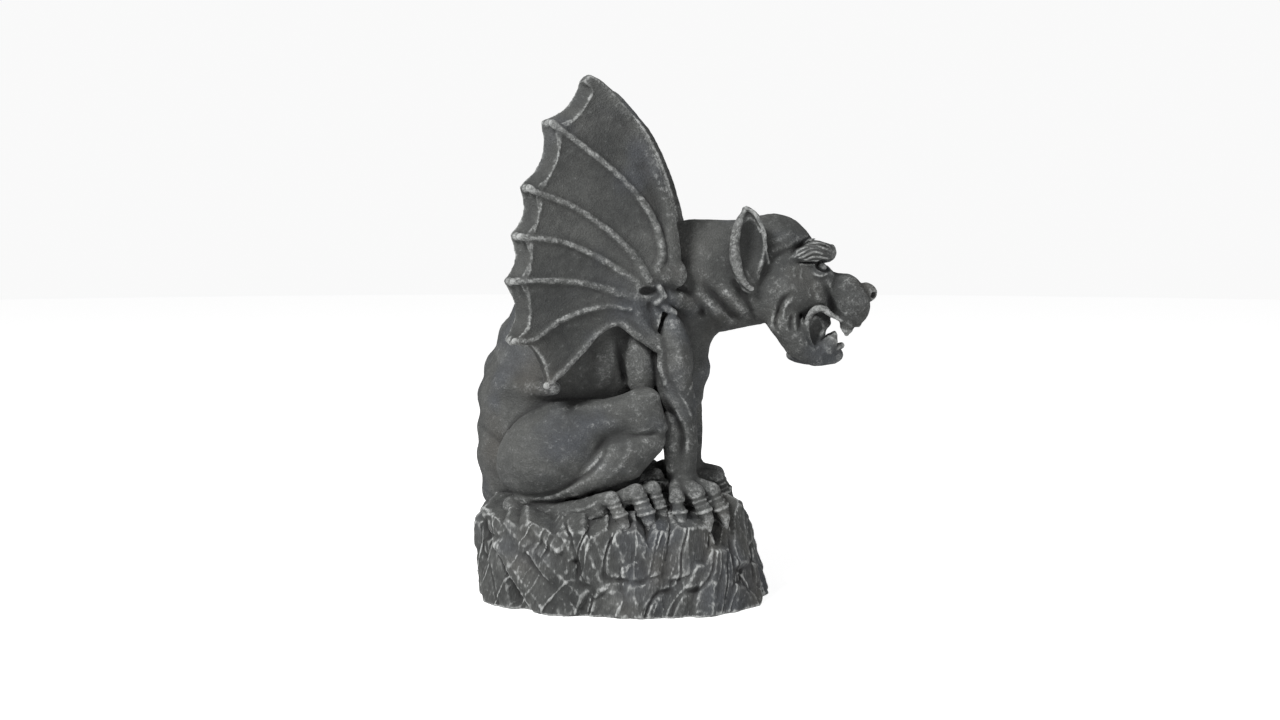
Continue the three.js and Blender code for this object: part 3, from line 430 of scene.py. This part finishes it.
def wing_sheet():
    """The sheet, bowed, with its scalloped edge bevelled on the outer face and a seam inside the bevel."""
    edge = [((WING_ROOT[0] - x) / COS, z, bevelled) for x, z, bevelled in wing_outline()]
    us, zs = np.arange(-22, 146, SHEET_STEP), np.arange(158, 410, SHEET_STEP)
    u, z = np.meshgrid(us, zs, indexing="ij")
    near, bevelled, inside = np.full(u.shape, 1e9), np.zeros(u.shape), np.zeros(u.shape, bool)
    for (au, az, on), (bu, bz, _) in zip(edge, edge[1:] + edge[:1]):
        du, dz = bu - au, bz - az
        t = np.clip(((u - au) * du + (z - az) * dz) / (du * du + dz * dz + 1e-9), 0, 1)
        away = np.hypot(u - au - t * du, z - az - t * dz)
        bevelled = np.where(away < near, on, bevelled)
        near = np.minimum(near, away)
        if az != bz:
            inside ^= ((az > z) != (bz > z)) & (u < au + (z - az) * du / dz)
    rim = np.where(inside, -near, near)

    def look_up(table, u, z):
        i = np.clip((u - us[0]) / SHEET_STEP, 0, len(us) - 1.001)
        j = np.clip((z - zs[0]) / SHEET_STEP, 0, len(zs) - 1.001)
        i, j = np.broadcast_arrays(i, j)
        i0, j0 = i.astype(int), j.astype(int)
        fi, fj = i - i0, j - j0
        low = table[i0, j0] * (1 - fi) + table[i0 + 1, j0] * fi
        return low * (1 - fj) + (table[i0, j0 + 1] * (1 - fi) + table[i0 + 1, j0 + 1] * fi) * fj

    def at(x, y, z):
        dx, dy = x - WING_ROOT[0], y - WING_ROOT[1]
        u = -dx * COS - dy * SIN
        w = dx * SIN - dy * COS - wing_bow(u)
        outward = np.clip((w + WING_HALF) / (2 * WING_HALF), 0, 1)
        from_edge, on_scallop = look_up(rim, u, z), look_up(bevelled, u, z)
        away = from_edge + (1 + on_scallop * WING_BEVEL) * outward
        seam = np.exp(-((from_edge + WING_BEVEL + 1.5) / 1.1) ** 2) * on_scallop
        return -melt(-0.75 * away, WING_HALF + 0.9 * seam * (w > 0) - np.abs(w), 1.2)
    return np.array([-84.0, -112, 164]), np.array([62.0, -26, 402]), at


def spoke(places, lift, radius=None):
    """A tube along the wing through places of (x, z, radius), or (x, z) with one radius."""
    run = smooth_run([(*p, radius) if radius else p for p in places], 5)
    return limb([(*on_wing(x, z, lift), r) for x, z, r in run])


beast.press(limb(((10, -38, 232, 15), (-22, -48, 214, 15), (-42, -54, 200, 12))), 8)  # shoulder blade
beast.press(wing_sheet(), 2)
ARM = ((39, 250, 9.5), (41, 263, 8), (40, 283, 6.8), (37.5, 301, 6.2), (31, 322, 5.6), (22, 346, 5.2),
       (9, 368, 4.8), (-6, 387, 4.4), (-15, 393, 4.2))
RIBS = (
    ((31, 254), (33, 270), (25, 296), (6, 321), (-22, 345), (-43, 361)),
    ((24, 248), (9, 271), (-22, 297), (-49, 309), (-59, 314)),
    ((16, 246), (-8, 262), (-36, 275), (-66, 279)),
    ((14, 235), (-22, 245), (-49, 247), (-71, 247)),
    ((11, 226), (-8, 228), (-36, 219), (-56, 205), (-70, 204)),
)
beast.press(spoke(ARM, 1), 2)
beast.line(spoke(((38, 262), (37, 282), (32, 303), (22, 328)), WING_HALF, 1.0), 6, -2.2)
for i, rib in enumerate(RIBS):
    beast.line(spoke(rib, WING_HALF, 1.0), 11, 2.6)  # the skin swells up to each rib
    tapered = [(x, z, 3.7 - 0.1 * i - 1.0 * n / (len(rib) - 1)) for n, (x, z) in enumerate(rib)]
    beast.press(spoke(tapered, WING_HALF + 1.8), 0.8)
    beast.press(spoke(rib, 0.5 - WING_HALF, 2.8), 1)
    beast.press(mass(on_wing(*rib[-1], 0), (3.6, 3.6, 3.2)), 1.5)
ARCH = ((30, 198, 5), (17, 207, 4.2), (4, 215.5, 3.2), (-11, 208, 3.0), (-25, 192, 3.0), (-47, 170, 2.4))
beast.press(spoke(ARCH, WING_HALF - 1), 1.2)
ROOT_CORD = ((19, -56, 241, 5), (16.5, -55, 230, 6), (18, -53, 217, 6), (24, -51, 208, 5.5),
             (32, -50, 201, 5), (36, -50, 193, 4), (35.5, -49, 182, 3.2), (39, -48, 169, 2.6),
             (46, -46, 160, 2))
beast.press(limb(ROOT_CORD), 2)
beast.press(limb(((34, -46, 236, 6), (46, -40, 232, 7), (56, -30, 228, 8))), 4)
beast.press(mass(on_wing(43, 251, 3), (10, 8, 11)), 2)  # the wing's wrist
beast.cut(mass((28, -60, 238.5), (8.5, 9, 4.4), (0, 4, 0)), 1.5)
beast.cut(limb(((27, -54, 228, 2.4), (30, -53, 218, 3.4), (33, -52, 209, 2.2))), 1.5)
beast.press(limb(((34, -53, 242, 2.6), (37, -52, 235, 3), (32, -52, 230, 2.6))), 1)
beast.press(limb(((36, -49, 228, 3), (44, -46, 222, 3))), 2)

# ------------------------------------------------------------------ the head
# A snarling hound's head: a domed skull, shaggy brows that overhang small round eyes, heavy cheeks
# with the skin wrinkled behind the open mouth, a bulbous muzzle, a ball of a nose, and four fangs.

beast.press(mass((117, 0, 263), (31, 30, 33)), 8)  # skull
beast.press(mass((124, -14, 240), (24, 21, 29), (0, 20, 0)), 6)  # cheek
beast.press(mass((144, -11, 242), (22, 17, 21), (0, 10, 0)), 6)
beast.press(limb(((140, 0, 244, 22), (156, 0, 236, 18), (171, 0, 233, 16))), 4)  # muzzle
beast.press(mass((173, -6, 238), (13, 14, 12)), 4)
beast.press(mass((177.5, -11, 227), (14, 13, 16.5)), 3)  # lip pad
beast.press(mass((188.5, -5, 236), (8.8, 7, 7.6)), 1.5)  # nose
beast.cut(mass((194, -8, 234.5), (3.2, 3, 2.4)), 1)  # nostril
JAW = ((127, -19, 216, 13.5), (138, -17, 199, 12.5), (150, -12, 190, 10), (163, -5, 189, 7.5))
beast.press(limb(JAW), 4)
beast.press(mass((150, 0, 188), (22, 15, 8)), 3)
beast.press(mass((146, 0, 209), (17, 17, 20)), 3)  # the inside of the cheeks
beast.cut(limb(((164.5, -40, 204.5, 6.5), (164.5, 40, 204.5, 6.5))), 2)  # the mouth, open right through
beast.cut(limb(((177, -40, 203, 7.8), (177, 40, 203, 7.8))), 2)
beast.cut(mass((152.5, -29, 209), (9, 16.5, 15), (0, 8, 0)), 1.5)
beast.press(limb(((175, -14, 215, 6.5), (174.5, -13.5, 209.5, 4.6), (174, -13, 205, 1.8))), 0.8)  # fangs
beast.press(limb(((158, -14, 194, 6.5), (162.5, -13, 199, 4.8), (165.5, -12, 204, 1.8))), 0.8)
LIPS = ((183, -11, 212, 2.0), (173, -17, 215, 2.4), (163, -20.5, 220, 2.6), (155, -22.5, 224.5, 2.6),
        (148, -24, 222, 2.6), (143.5, -25, 213, 2.4), (144, -24, 203, 2.4), (148, -20.5, 195, 2.2),
        (156, -16, 192.5, 2.2), (165, -11.5, 193.5, 2.2), (171, -6, 195.5, 2.0))
beast.press(limb(smooth_run(LIPS, 4)), 1.5)
BROW = ((132, -26, 262, 4.5), (140, -26, 266, 8), (149, -21, 268, 9.5), (157.5, -12, 267, 8.5))
beast.press(limb(BROW), 1.5)
BROW_FOOT = ((130, 260), (140, 258.5), (149, 260), (157, 258), (163, 259))
BROW_CREST = ((130, 264), (138, 274), (148, 279), (158, 277), (165, 269))
STRANDS = 8
for i in range(STRANDS):
    strand = [blend(a, b, i / (STRANDS - 1)) for a, b in zip(BROW_FOOT, BROW_CREST)]
    strand = [(x, z + 0.9 * math.sin(1.9 * n + 1.3 * i)) for n, (x, z) in enumerate(strand)]
    score(strand, 0.9, -1.9, -2)
beast.cut(mass((157.5, -20, 256.5), (8, 9, 4.6), (0, 12, 0)), 1.5)  # eye
beast.press(mass((154.5, -15, 255.5), (4.2, 4.2, 3.6)), 0.8)
FACE_LINES = (
    (((147, 253), (151, 250), (156, 249.5), (161, 253)), 1.0, 1.1, -8),
    (((148, 249), (153, 246.5), (159, 248)), 1.4, -1.0, -8),
    (((145, 277), (131, 269.5), (116, 264)), 2.2, -2.6, -10),
    (((115, 273), (124, 278), (134, 284)), 3.0, 1.2, -8),
    (((155, 247), (159, 238), (161.5, 230), (165, 223), (170, 216)), 2.4, -3.0, -8),
    (((148, 246), (151, 236), (154, 228)), 3.0, 1.0, -10),
    (((136, 238), (126, 232), (122, 222), (120.5, 213), (122, 207)), 2.0, -3.0, -10),
    (((133, 232), (127, 225), (126, 214)), 1.4, 1.3, -10),
)
for places, breadth, height, depth in FACE_LINES:
    score(places, breadth, height, depth)
CHEEK_GROOVES = ((132, 221, 207), (138.5, 223, 208))
for x, top, foot in CHEEK_GROOVES:
    score(((x + 1, top), (x - 0.5, (top + foot) / 2), (x, foot)), 1.5, -2.4, -10)
score(((135.5, 224), (135, 215), (136, 206)), 1.2, 0.8, -10)
WRINKLES = ((140, 257, 244), (134.5, 257, 247), (146, 243, 232))
for x, top, foot in WRINKLES:
    score(((x, top), (x - 1, (top + foot) / 2), (x + 0.5, foot)), 1.0, 0.7, -10)
EAR = ((97, -39, 299, 2.6), (98, -38, 289, 8), (99, -37, 276, 13), (99, -35, 263, 13.5), (99, -33, 251, 10),
       (100, -30, 243, 7))
beast.press(limb(EAR, 0.75), 3)
beast.cut(mass((102, -48, 271), (12.5, 12, 23), (0, 4, 32)), 1.5)
beast.cut(limb(((103, -46, 262, 6), (105, -42, 250, 4.5), (108, -38, 244, 2.5))), 2)
EAR_RIM = ((98, -41, 300, 1.8), (93, -44, 290, 3), (90, -46, 278, 3.6), (90, -46, 265, 3.8),
           (92.5, -44, 253, 3.4), (97, -40, 245, 2.8), (102, -36, 240, 2))
beast.press(limb(smooth_run(EAR_RIM, 3)), 1.5)
EAR_EDGE = ((98, -41, 300, 1.8), (105, -42, 295, 1.7), (110, -41, 286, 1.7), (112, -40, 276, 1.7),
            (112, -37, 267, 1.8), (114, -31, 259, 2))
beast.press(limb(smooth_run(EAR_EDGE, 3)), 1)

# ------------------------------------------------------------------ the casting
# Beast and crag come out of one mould as one casting, cut off flat below, where it stands. The mould
# takes up the tool marks of the clay, and the split faces and cracks of the rock.

beast.value = np.concatenate([beast.value, beast.value[:, -2::-1]], axis=1)  # and its left side
beast.count = np.array(beast.value.shape)
underside = (crag.low[2] + np.arange(crag.count[2]) * FINE).astype(np.float32)
crag.value = np.maximum(crag.value, -underside)


def skin(clay):
    """The clay's surface, as points in millimetres and faces of four."""
    grid = openvdb.FloatGrid(background=FAR)
    grid.copyFromArray(clay.value)
    points, quads = grid.convertToQuads(isovalue=0.0)
    return points.astype(np.float64) * FINE + clay.low, quads


def around_cell(place, count):
    """For places counted in cells, the eight lattice points round each and their shares of it."""
    base = np.floor(place).astype(int).clip(0, np.array(count) - 2)
    f = place - base
    for corner in np.ndindex(2, 2, 2):
        yield base + corner, np.prod(np.abs(1 - np.array(corner) - f), axis=1)


def sampled(table, low, spacing, points):
    """A table's value at points, between its own, and 0 outside it."""
    place = (points - low) / spacing
    inside = ((place >= 0) & (place < np.array(table.shape) - 1)).all(1)
    place = place.clip(0, np.array(table.shape) - 1.001)
    value = sum(share * table[tuple(cell.T)] for cell, share in around_cell(place, table.shape))
    return np.where(inside, value, 0.0)


ROOM = 2.0  # spacing of the grid that tells how crowded a place is, in millimetres
room_low = np.array([-150.0, -136, -26])
room_axes = [low + np.arange(int((high - low) / ROOM)) * ROOM for low, high in zip(room_low, (232, 136, 430))]
room = np.zeros([len(axis) for axis in room_axes], np.float32)
for clay in (beast, crag):
    cells = [np.round((axis - low) / FINE).astype(int) for axis, low in zip(room_axes, clay.low)]
    inside = [(cell >= 0) & (cell < count) for cell, count in zip(cells, clay.count)]
    solid = clay.value[np.ix_(*[cell[on] for cell, on in zip(cells, inside)])] < 0
    room[np.ix_(*inside)] = np.maximum(room[np.ix_(*inside)], solid)


def crowding(reach):
    """How much of the space within about reach of each place is filled, from 0 to 1."""
    table, half = room, max(1, round(reach / ROOM / 2))
    for _ in range(2):
        for axis in range(3):
            edge = [(half + 1, half) if i == axis else (0, 0) for i in range(3)]
            total = np.cumsum(np.pad(table, edge), axis=axis)
            span = 2 * half + 1
            table = (np.take(total, range(span, total.shape[axis]), axis)
                     - np.take(total, range(total.shape[axis] - span), axis)) / span
    return table


# how crowded each place is sets the painted shade in hollows and tight gaps
NEAR_REACH, WIDE_REACH = 7.0, 20.0
crowded = {"crowded_near": crowding(NEAR_REACH), "crowded_wide": crowding(WIDE_REACH)}


def normals_of(points, faces):
    """Unit normals at the points of a mesh of quads."""
    p = points[faces]
    across = np.cross(p[:, 2] - p[:, 0], p[:, 3] - p[:, 1])
    normal = np.zeros(points.shape)
    for corner in range(4):
        for axis in range(3):
            normal[:, axis] += np.bincount(faces[:, corner], across[:, axis], len(points))
    return normal / (np.linalg.norm(normal, axis=1)[:, None] + 1e-9)


SCATTER = (374761393, 668265263, 2147483647)  # large odd numbers, so that neighbouring places differ
SEED_SCATTER, STIR = 974634777, 1274126177


def lattice(cell, seed):
    """A repeatable number from 0 to 1 for each whole-numbered place."""
    mixed = seed * SEED_SCATTER + sum(cell[..., axis] * factor for axis, factor in enumerate(SCATTER))
    mixed = (mixed ^ (mixed >> 13)) * STIR & 0xFFFFFFFF
    return ((mixed ^ (mixed >> 16)) & 0xFFFFFF) / 0xFFFFFF


def mottle(points, size, seed=0):
    """Smooth noise from -1 to 1 that turns over about once in size, a number or one for each axis."""
    at = points / size
    base = np.floor(at).astype(np.int64)
    f = at - base
    f = f * f * (3 - 2 * f)
    value = 0
    for corner in np.ndindex(2, 2, 2):
        value = value + np.prod(np.abs(1 - np.array(corner) - f), axis=1) * lattice(base + corner, seed)
    return 2 * value - 1


def vein(noise, breadth):
    """A thin line wherever smooth noise passes through nought."""
    return np.exp(-(noise / breadth) ** 2)


def skin_relief(points):
    """The marks of the modeller's tools and fingers."""
    return 0.40 * mottle(points, 12, 1) + 0.24 * mottle(points, 5, 2) + 0.16 * mottle(points, 2.4, 6)


def rock_relief(points, normals):
    """Splits, thin ridges and steps that run down the flanks, and a lumpy top."""
    flank = np.clip(1.3 - np.abs(normals[:, 2]) * 1.4, 0, 1)
    round_crag = np.arctan2(points[:, 1] / CRAG_FOOT[2], points[:, 0] / CRAG_FOOT[1])
    sway = 2.5 * mottle(points, 24, 9) + 0.22 * points[:, 2]
    down = np.stack([round_crag * 95 - sway, np.zeros(len(points)), points[:, 2]], 1)
    steps = mottle(down, (8, 1, 30), 3)
    rise = 0.8 * steps + 0.5 * mottle(down, (5, 1, 19), 4) + 0.3 * mottle(down, (2.2, 1, 8), 11)
    rise -= 1.7 * vein(mottle(down, (17, 1, 50), 5), 0.06)
    rise += 0.8 * vein(mottle(down, (15, 1, 44), 8), 0.07) + 0.3 * vein(mottle(down, (7, 1, 22), 12), 0.10)
    top = 0.7 * mottle(points, (9, 9, 40), 7) + 0.35 * mottle(points, 3.5, 10)
    lumps = 0.5 * mottle(points, 10, 1) + 0.25 * mottle(points, 4.5, 2) + 0.15 * mottle(points, 2.3, 6)
    return (flank * rise + (1 - flank) * top + lumps) * np.clip(points[:, 2] / 2 - 0.3, 0, 1)


def relaxed(points, ends, times):
    """The points eased towards their neighbours."""
    degree = np.bincount(ends[0], minlength=len(points)).clip(1)[:, None]
    for _ in range(times):
        mean = np.stack([np.bincount(ends[0], points[ends[1], axis], len(points)) for axis in range(3)], 1)
        points = 0.35 * points + 0.65 * mean / degree
    return points


NEAR_EASE, WIDE_EASE = 4, 30  # how often the skin is eased to give its close and its wider average


def proud_of(points, quads, normals):
    """How far each point stands out from the skin's average close round it, and wider round it."""
    sides = [quads[:, [i, (i + 1) % 4]] for i in range(4)]
    edges = np.unique(np.sort(np.vstack(sides), 1), axis=0)
    ends = np.concatenate([edges[:, 0], edges[:, 1]]), np.concatenate([edges[:, 1], edges[:, 0]])
    near = relaxed(points, ends, NEAR_EASE)
    wide = relaxed(near, ends, WIDE_EASE)
    return [((points - smooth) * normals).sum(1) for smooth in (near, wide)]


def mesh_from(name, points, faces):
    mesh = bpy.data.meshes.new(name)
    mesh.vertices.add(len(points))
    mesh.vertices.foreach_set("co", points.astype(np.float32).ravel())
    mesh.loops.add(faces.size)
    mesh.loops.foreach_set("vertex_index", faces.astype(np.int32).ravel())
    mesh.polygons.add(len(faces))
    mesh.polygons.foreach_set("loop_start", np.arange(0, faces.size, faces.shape[1], dtype=np.int32))
    mesh.update(calc_edges=True)
    mesh.validate()
    return mesh


PIECE_TRIANGLES = 194000
beast_skin, crag_skin = skin(beast), skin(crag)
MM = (high_corner[2] - low_corner[2]) / beast_skin[0][:, 2].max()  # the wing tips reach the solid's height


def cast(name, points, quads, relief):
    """One piece of the casting, with what its finish and painted shade need to know kept at its points."""
    points = points + normals_of(points, quads) * relief[:, None]
    normals = normals_of(points, quads)
    near, wide = proud_of(points, quads, normals)
    kept = {"proud_near": near, "proud_wide": wide}
    for label, table in crowded.items():
        kept[label] = sampled(table, room_low, ROOM, points + ROOM * normals)
    dense = bpy.data.objects.new(name, mesh_from(name, points * MM, quads))
    bpy.context.scene.collection.objects.link(dense)
    thinner = dense.modifiers.new("thin", "DECIMATE")
    thinner.ratio = min(1, PIECE_TRIANGLES / (2 * len(quads)))
    thinner.use_collapse_triangulate = True
    mesh = bpy.data.meshes.new_from_object(dense.evaluated_get(bpy.context.evaluated_depsgraph_get()))
    bpy.data.objects.remove(dense)
    tree = KDTree(len(points))
    for i, place in enumerate(points * MM):
        tree.insert(place, i)
    tree.balance()
    nearest = [tree.find(v.co)[1] for v in mesh.vertices]
    for label, values in kept.items():
        layer = mesh.attributes.new(label, "FLOAT", "POINT")
        layer.data.foreach_set("value", values[nearest].astype(np.float32))
    mesh.polygons.foreach_set("use_smooth", np.ones(len(mesh.polygons), bool))
    piece = bpy.data.objects.new(name, mesh)
    bpy.context.scene.collection.objects.link(piece)
    return piece


gargoyle = cast("gargoyle_beast", *beast_skin, skin_relief(beast_skin[0]))
rock = cast("gargoyle_crag", *crag_skin, rock_relief(crag_skin[0], normals_of(*crag_skin)))

# ------------------------------------------------------------------ the stone's finish and painted shade
# Cast stone, stained almost black, with a bluish and a brownish bloom. Pale grey is dry-brushed over it,
# so that it catches only on ridges, edges and the grain; hollows and tight gaps get painted shade.


SLATE, ASH = (0.040, 0.042, 0.041, 1), (0.088, 0.090, 0.086, 1)
BLUE_BLOOM, BROWN_BLOOM = (0.060, 0.066, 0.078, 1), (0.074, 0.067, 0.058, 1)
# the first two are painted shade for hollows and tight gaps; PIT darkens the grain's little grooves
HOLLOW_SHADE, DEEP_SHADE, PIT = (0.020, 0.020, 0.020, 1), (0.016, 0.016, 0.016, 1), (0.026, 0.026, 0.026, 1)
BRUSHED_GREY, EDGE_GREY = (0.24, 0.245, 0.24, 1), (0.52, 0.53, 0.52, 1)


def stone_finish_with_shade(name, grain_stretch, brushing):
    """The finish and its painted shade, with its grain drawn out along Z by grain_stretch, and as pale as
    brushing says.
    """
    material = bpy.data.materials.new(name)
    material.use_nodes = True
    nodes, links = material.node_tree.nodes, material.node_tree.links
    shader = nodes["Principled BSDF"]
    shader.inputs["Specular IOR Level"].default_value = 0.3
    place = nodes.new("ShaderNodeTexCoord").outputs["Object"]
    drawn = nodes.new("ShaderNodeMapping")
    drawn.inputs["Scale"].default_value = (1, 1, 1 / grain_stretch)
    links.new(place, drawn.inputs["Vector"])
    drawn = drawn.outputs["Vector"]

    def wire(value, socket):
        if isinstance(value, (int, float, tuple)):
            socket.default_value = value
        else:
            links.new(value, socket)

    def speckle(scale, detail=4.0, rough=0.6, where=place):
        node = nodes.new("ShaderNodeTexNoise")
        node.inputs["Scale"].default_value = scale
        node.inputs["Detail"].default_value = detail
        node.inputs["Roughness"].default_value = rough
        links.new(where, node.inputs["Vector"])
        return node.outputs["Fac"]

    def pebble(scale):
        node = nodes.new("ShaderNodeTexVoronoi")
        node.feature = "SMOOTH_F1"
        node.inputs["Scale"].default_value = scale
        node.inputs["Smoothness"].default_value = 0.6
        links.new(drawn, node.inputs["Vector"])
        return node.outputs["Distance"]

    def ramp(value, low, high, to_low=0.0, to_high=1.0):
        node = nodes.new("ShaderNodeMapRange")
        node.interpolation_type = "SMOOTHSTEP"
        for socket, number in zip(("Value", "From Min", "From Max", "To Min", "To Max"),
                                  (value, low, high, to_low, to_high)):
            wire(number, node.inputs[socket])
        return node.outputs["Result"]

    def maths(operation, a, b):
        node = nodes.new("ShaderNodeMath")
        node.operation = operation
        for socket, value in zip(node.inputs, (a, b)):
            wire(value, socket)
        return node.outputs["Value"]

    def mix_colour(share, under, over):
        node = nodes.new("ShaderNodeMix")
        node.data_type = "RGBA"
        wire(share, node.inputs["Factor"])
        wire(under, node.inputs["A"])
        wire(over, node.inputs["B"])
        return node.outputs["Result"]

    def kept(name):
        node = nodes.new("ShaderNodeAttribute")
        node.attribute_name = name
        return node.outputs["Fac"]

    near, wide = kept("proud_near"), kept("proud_wide")
    grain = speckle(700, 4, 0.65, drawn)
    dimple = pebble(800)
    patch = speckle(34, 4, 0.6)
    base = mix_colour(ramp(speckle(20, 5, 0.6), 0.32, 0.68), SLATE, ASH)
    base = mix_colour(ramp(speckle(15, 2), 0.5, 0.7, 0, 0.6), base, BLUE_BLOOM)
    base = mix_colour(ramp(speckle(11, 2), 0.52, 0.72, 0, 0.5), base, BROWN_BLOOM)
    # painted shade: darker in broad hollows and where parts crowd close, as under the wing's arch, in the
    # mouth and between the legs
    base = mix_colour(ramp(wide, -1.6, 0.3, 0.8, 0.0), base, HOLLOW_SHADE)
    base = mix_colour(ramp(kept("crowded_near"), 0.42, 0.75, 0.0, 0.8), base, HOLLOW_SHADE)
    base = mix_colour(ramp(kept("crowded_wide"), 0.45, 0.8, 0.0, 0.8), base, DEEP_SHADE)
    base = mix_colour(ramp(dimple, 0.3, 0.65, 0.0, 0.3), base, PIT)
    brushed = ramp(maths("ADD", wide, maths("MULTIPLY", maths("SUBTRACT", patch, 0.5), 4.6)), 0.1, 2.5)
    brushed = maths("MULTIPLY", brushed, ramp(grain, 0.44, 0.62, 0.25, 0.95 * brushing))
    base = mix_colour(brushed, base, BRUSHED_GREY)
    edge = ramp(maths("ADD", near, maths("MULTIPLY", maths("SUBTRACT", grain, 0.5), 0.5)), 0.03, 0.34)
    edge = maths("MULTIPLY", edge, ramp(speckle(150, 4, 0.7, drawn), 0.42, 0.58, 0.35, 1.0))
    base = mix_colour(maths("MULTIPLY", edge, 0.7 * brushing), base, EDGE_GREY)
    links.new(base, shader.inputs["Base Color"])
    links.new(ramp(grain, 0.3, 0.7, 0.70, 0.92), shader.inputs["Roughness"])
    bump = nodes.new("ShaderNodeBump")
    bump.inputs["Strength"].default_value = 0.7
    bump.inputs["Distance"].default_value = 0.0010
    height = maths("ADD", grain, maths("MULTIPLY", speckle(230, 4, 0.6, drawn), 0.9))
    links.new(maths("SUBTRACT", height, maths("MULTIPLY", dimple, 0.6)), bump.inputs["Height"])
    links.new(bump.outputs["Normal"], shader.inputs["Normal"])
    return material


# each piece gets its stained, dry-brushed finish with painted shade in the hollows
for piece, finish in ((gargoyle, stone_finish_with_shade("stained_and_shaded_skin", 1.0, 0.8)),
                      (rock, stone_finish_with_shade("stained_and_shaded_rock", 3.0, 0.95))):
    piece.data.materials.append(finish)
    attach(piece, "root")
    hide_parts("gargoyle")

# ------------------------------------------------------------------ floor, light and camera
# The casting stands on a pale studio floor under large soft lamps, seen from its right side.

FLOOR_RADIUS = 6
floor_mesh = bpy.data.meshes.new("floor")
rim = [(FLOOR_RADIUS * math.cos(a), FLOOR_RADIUS * math.sin(a), 0) for a in np.radians(np.arange(0, 360, 5))]
floor_mesh.from_pydata(rim, [], [tuple(range(len(rim)))])
floor = bpy.data.objects.new("floor", floor_mesh)
bpy.context.scene.collection.objects.link(floor)
paint = bpy.data.materials.new("studio_white")
paint.use_nodes = True
nodes, links = paint.node_tree.nodes, paint.node_tree.links
shader = nodes["Principled BSDF"]
shader.inputs["Base Color"].default_value = (0.9, 0.9, 0.9, 1)
shader.inputs["Roughness"].default_value = 0.9
shader.inputs["Emission Color"].default_value = (1, 1, 1, 1)
glow = nodes.new("ShaderNodeMapRange")  # the floor is lit to the white of the wall
glow.inputs["To Max"].default_value = 0.75
links.new(nodes.new("ShaderNodeLightPath").outputs["Is Camera Ray"], glow.inputs["Value"])
links.new(glow.outputs["Result"], shader.inputs["Emission Strength"])
floor_mesh.materials.append(paint)

world = bpy.data.worlds.new("studio")
bpy.context.scene.world = world
world.use_nodes = True
nodes, links = world.node_tree.nodes, world.node_tree.links
nodes["Background"].inputs["Color"].default_value = (1, 1, 1, 1)
level = nodes.new("ShaderNodeMapRange")  # the wall behind is white, and the room round it is dim
level.inputs["To Min"].default_value = 0.24
level.inputs["To Max"].default_value = 0.95
links.new(nodes.new("ShaderNodeLightPath").outputs["Is Camera Ray"], level.inputs["Value"])
links.new(level.outputs["Result"], nodes["Background"].inputs["Strength"])
bpy.context.scene.view_settings.view_transform = "Standard"
TARGET = Vector((0.015, 0, 0.183))  # the middle of the view, which the lamps are turned to as well


def lamp(name, place, size, watts):
    light = bpy.data.lights.new(name, "AREA")
    light.shape = "DISK"
    light.size = size
    light.energy = watts
    stand = bpy.data.objects.new(name, light)
    stand.location = place
    stand.rotation_euler = (TARGET - Vector(place)).to_track_quat("-Z", "Y").to_euler()
    bpy.context.scene.collection.objects.link(stand)


lamp("key", (-0.9, -1.3, 1.5), 0.6, 52)
lamp("fill", (1.5, -1.2, 0.6), 0.9, 10)

camera = bpy.data.objects.new("camera", bpy.data.cameras.new("camera"))
bpy.context.scene.collection.objects.link(camera)
bpy.context.scene.camera = camera
DISTANCE, AZIMUTH, ELEVATION = 1.3, math.radians(5), math.radians(4.5)
level_reach = math.cos(ELEVATION)
away = Vector((math.sin(AZIMUTH) * level_reach, -math.cos(AZIMUTH) * level_reach, math.sin(ELEVATION)))
camera.location = TARGET + DISTANCE * away
camera.rotation_euler = away.to_track_quat("Z", "Y").to_euler()
camera.data.sensor_width = 36
camera.data.lens = 46.9
camera.data.clip_end = 50
